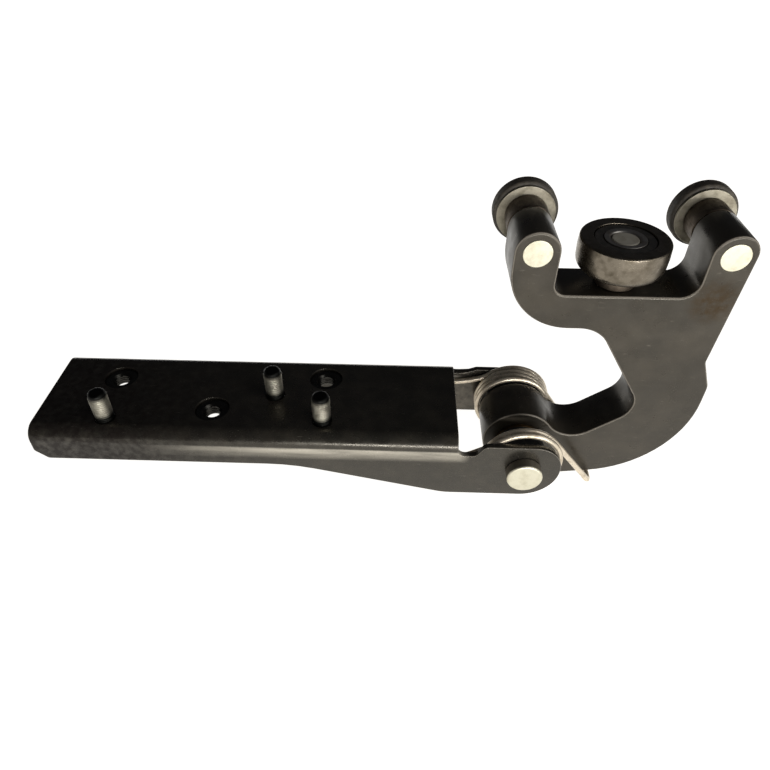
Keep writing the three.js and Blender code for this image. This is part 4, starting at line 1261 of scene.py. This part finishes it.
# %% [markdown]
# ## Guide rollers
# Behind each horn the pin grows into a brown collar. A light thrust washer, a small ball bearing in
# a nylon tyre, and a washer held by the riveted tail follow. Each bearing has two races with a
# rolled groove, and balls in a cage. The races and cages come first.

# %% Bearing profiles


def groove(circle_radius, ball_radius, level, edge, side):
    """Points of a ball groove in a race's edge; side is 1 in an outer race and -1 in an inner."""
    radius = ball_radius + CLEARANCE
    spread = math.acos(abs(edge - circle_radius) / radius)
    angles = [spread * (1 - 2 * i / 10) for i in range(11)]
    return [
        (circle_radius + side * radius * math.cos(a), level - radius * math.sin(a), 0) for a in angles
    ]


def race(bore, edge, low, high, track):
    return [(bore, low, 0.25), (edge, low, 0.15), *track, (edge, high, 0.15), (bore, high, 0.25)]


def ball_cage(name, node, balls, circle_radius, ball_radius, body, upright=False):
    """A thin ring through the balls' middles, with the balls in it."""
    place = middle(node)
    thick = ball_radius * 0.35
    centre, level = ((place.x, place.y), place.z) if upright else ((place.x, place.z), place.y)
    profile = ring_profile(
        circle_radius - thick, circle_radius + thick, level - thick, level + thick, 0.15,
    )
    hoop = keep_mesh(lathe(profile, centre, upright), name)
    made = BALLS.run(hoop, **{
        "Balls": balls, "Circle radius": circle_radius, "Ball radius": ball_radius,
        "Place": tuple(place), "Lean": (0 if upright else math.pi / 2, 0, 0), "Finish": DULL_STEEL,
    })
    finish_piece(name, made, DULL_STEEL, body, "dull_steel", node)


print("points in a groove:", len(groove(7, 2, 0, 8, 1)))

# %% [markdown]
# The pin's front end is ground flush with the horn, and its pale colour is partly that bare ground
# metal and partly painted light, while its collar is brown. One turned mesh holds both, so its faces
# near the front get the pale finish.

# %% Guide rollers
GUIDE_BALL = 1.7
GUIDE_TRACK = 7.4
OUTER_EDGE = GUIDE_TRACK + 1.1
INNER_EDGE = GUIDE_TRACK - 1.1
JOURNAL = 4.0
FRONT_END = 5.3
PROUD = 0.1                                     # how far the pin's end stands out of the horn
RIVET = 5.4
RIVET_TOP = 5.0
TYRE_WALL = 1.9
TYRE_ROUND = 1.2


def guide_pin(side):
    pin = f"guide_pin_{side}"
    collar, _, tail = span(pin)
    collar_low = ARM_THICKNESS + CLEARANCE
    collar_high = span(f"guide_washer_{side}")[1] - CLEARANCE
    rivet_low = span(f"guide_cap_washer_{side}")[2] + CLEARANCE
    # the front end takes the pale zinc: bare ground metal, drawn lighter as painted light
    turned_piece(f"shouldered_pin_{side}", [
        (0, -PROUD, 0), (FRONT_END, -PROUD, 0.25), (FRONT_END, collar_low, 0),
        (collar, collar_low, 0.4), (collar, collar_high, 0.5), (JOURNAL, collar_high, 0),
        (JOURNAL, rivet_low, 0), (RIVET, rivet_low, 0.3), (RIVET_TOP, tail, 0.7), (0, tail, 0),
    ], pin, COLLAR_STEEL, "arm", "collar_steel", bright=(ZINC_PAINTED_LIT, lambda spot: spot.y < 1))


def guide_roller(side):
    body = f"guide_roller_{side}"
    for name, node in (("thrust_washer", "guide_washer"), ("tail_washer", "guide_cap_washer")):
        turned_ring(
            f"{name}_{side}", JOURNAL + CLEARANCE, 0.3, f"{node}_{side}", WASHER_STEEL, "arm", "zinc_steel",
        )
    radius, low, high = span(f"guide_tyre_{side}")
    level = (low + high) / 2
    bore = radius - TYRE_WALL
    turned_piece(
        f"nylon_tyre_{side}",
        [(bore, low, 0.2), (radius, low, TYRE_ROUND), (radius, high, TYRE_ROUND), (bore, high, 0.2)],
        f"guide_tyre_{side}", TYRE_NYLON, body, "black_nylon",
    )
    races = (
        ("outer_race", bore - CLEARANCE, OUTER_EDGE, 1, body),
        ("inner_race", JOURNAL + CLEARANCE, INNER_EDGE, -1, "arm"),
    )
    for name, back, edge, facing, rides_on in races:
        track = groove(GUIDE_TRACK, GUIDE_BALL, level, edge, facing)
        turned_piece(
            f"{name}_{side}", race(back, edge, low, high, track), f"guide_{name}_{side}", DULL_STEEL,
            rides_on, "dull_steel",
        )
    ball_cage(
        f"ball_set_{side}", f"guide_ball_cage_{side}", 8, GUIDE_TRACK, GUIDE_BALL, f"guide_cage_{side}",
    )


for side in ("left", "right"):
    guide_pin(side)
    guide_roller(side)
print("guide rollers at", [[round(value, 1) for value in horn] for horn in (LEFT_HORN, RIGHT_HORN)])

# %% [markdown]
# ## Load roller
# The third roller lies flat on an upright pin between the horns. Its steel ring is its own outer
# race, rounder below than above, and two rubber seals close it. The pin's riveted end is pale, and
# its shoulder under the roller is brown.

# %% Load roller
LOAD_BALL = 2.6
LOAD_TRACK = 9.3
LOAD_OUTER_EDGE = LOAD_TRACK + 1.9
LOAD_INNER_EDGE = LOAD_TRACK - 1.7
LOAD_PIN = 4.9
CROWN_DEPTH = 4.5
CROWN_ROUND = 8
SKIRT_ROUND = 4.4


def load_roller():
    radius, low, high = span("load_roller", "z")
    level = (low + high) / 2
    track = groove(LOAD_TRACK, LOAD_BALL, level, LOAD_OUTER_EDGE, 1)
    turned_piece("bearing_roller", [
        (LOAD_OUTER_EDGE, low, 0.2), *track, (LOAD_OUTER_EDGE, high, 0.3), (radius - 0.2, high, 0.8),
        (radius, high - CROWN_DEPTH, CROWN_ROUND), (radius - 0.4, low, SKIRT_ROUND),
    ], "load_roller", ROLLER_STEEL, "load_roller", "roller_steel", True)
    _, race_low, race_high = span("load_inner_race", "z")
    bore = LOAD_PIN + CLEARANCE
    track = groove(LOAD_TRACK, LOAD_BALL, level, LOAD_INNER_EDGE, -1)
    inner = race(bore, LOAD_INNER_EDGE, race_low, race_high, track)
    inner[-1] = (bore, race_high, 0.9)
    turned_piece("load_race", inner, "load_inner_race", DULL_STEEL, "arm", "dull_steel", True)
    for side in ("upper", "lower"):
        _, seal_low, seal_high = span(f"load_seal_{side}", "z")
        edges = (LOAD_INNER_EDGE + CLEARANCE, LOAD_OUTER_EDGE - CLEARANCE)
        turned_piece(
            f"seal_{side}", ring_profile(*edges, seal_low, seal_high, 0.2), f"load_seal_{side}",
            SEAL_RUBBER, "load_roller", "seal_rubber", True,
        )
    ball_cage("ball_set_load", "load_ball_cage", 9, LOAD_TRACK, LOAD_BALL, "load_cage", True)


def load_pin():
    shoulder, low, top = span("load_pin", "z")
    roller_low = span("load_roller", "z")[1]
    turned_piece("upright_pin", [
        (0, low, 0), (LOAD_PIN, low, 0.5), (LOAD_PIN, YOKE_FLOOR + CLEARANCE, 0),
        (shoulder, YOKE_FLOOR + CLEARANCE, 0.4), (shoulder, roller_low - CLEARANCE, 0.4),
        (LOAD_PIN, roller_low - CLEARANCE, 0), (LOAD_PIN, top, 0.5), (0, top, 0),
    ], "load_pin", COLLAR_STEEL, "arm", "zinc_steel", True,
        bright=(PIN_END, lambda spot: spot.z > roller_low))


load_roller()
load_pin()
print("load roller at", [round(value, 1) for value in middle("load_roller")])

# %% [markdown]
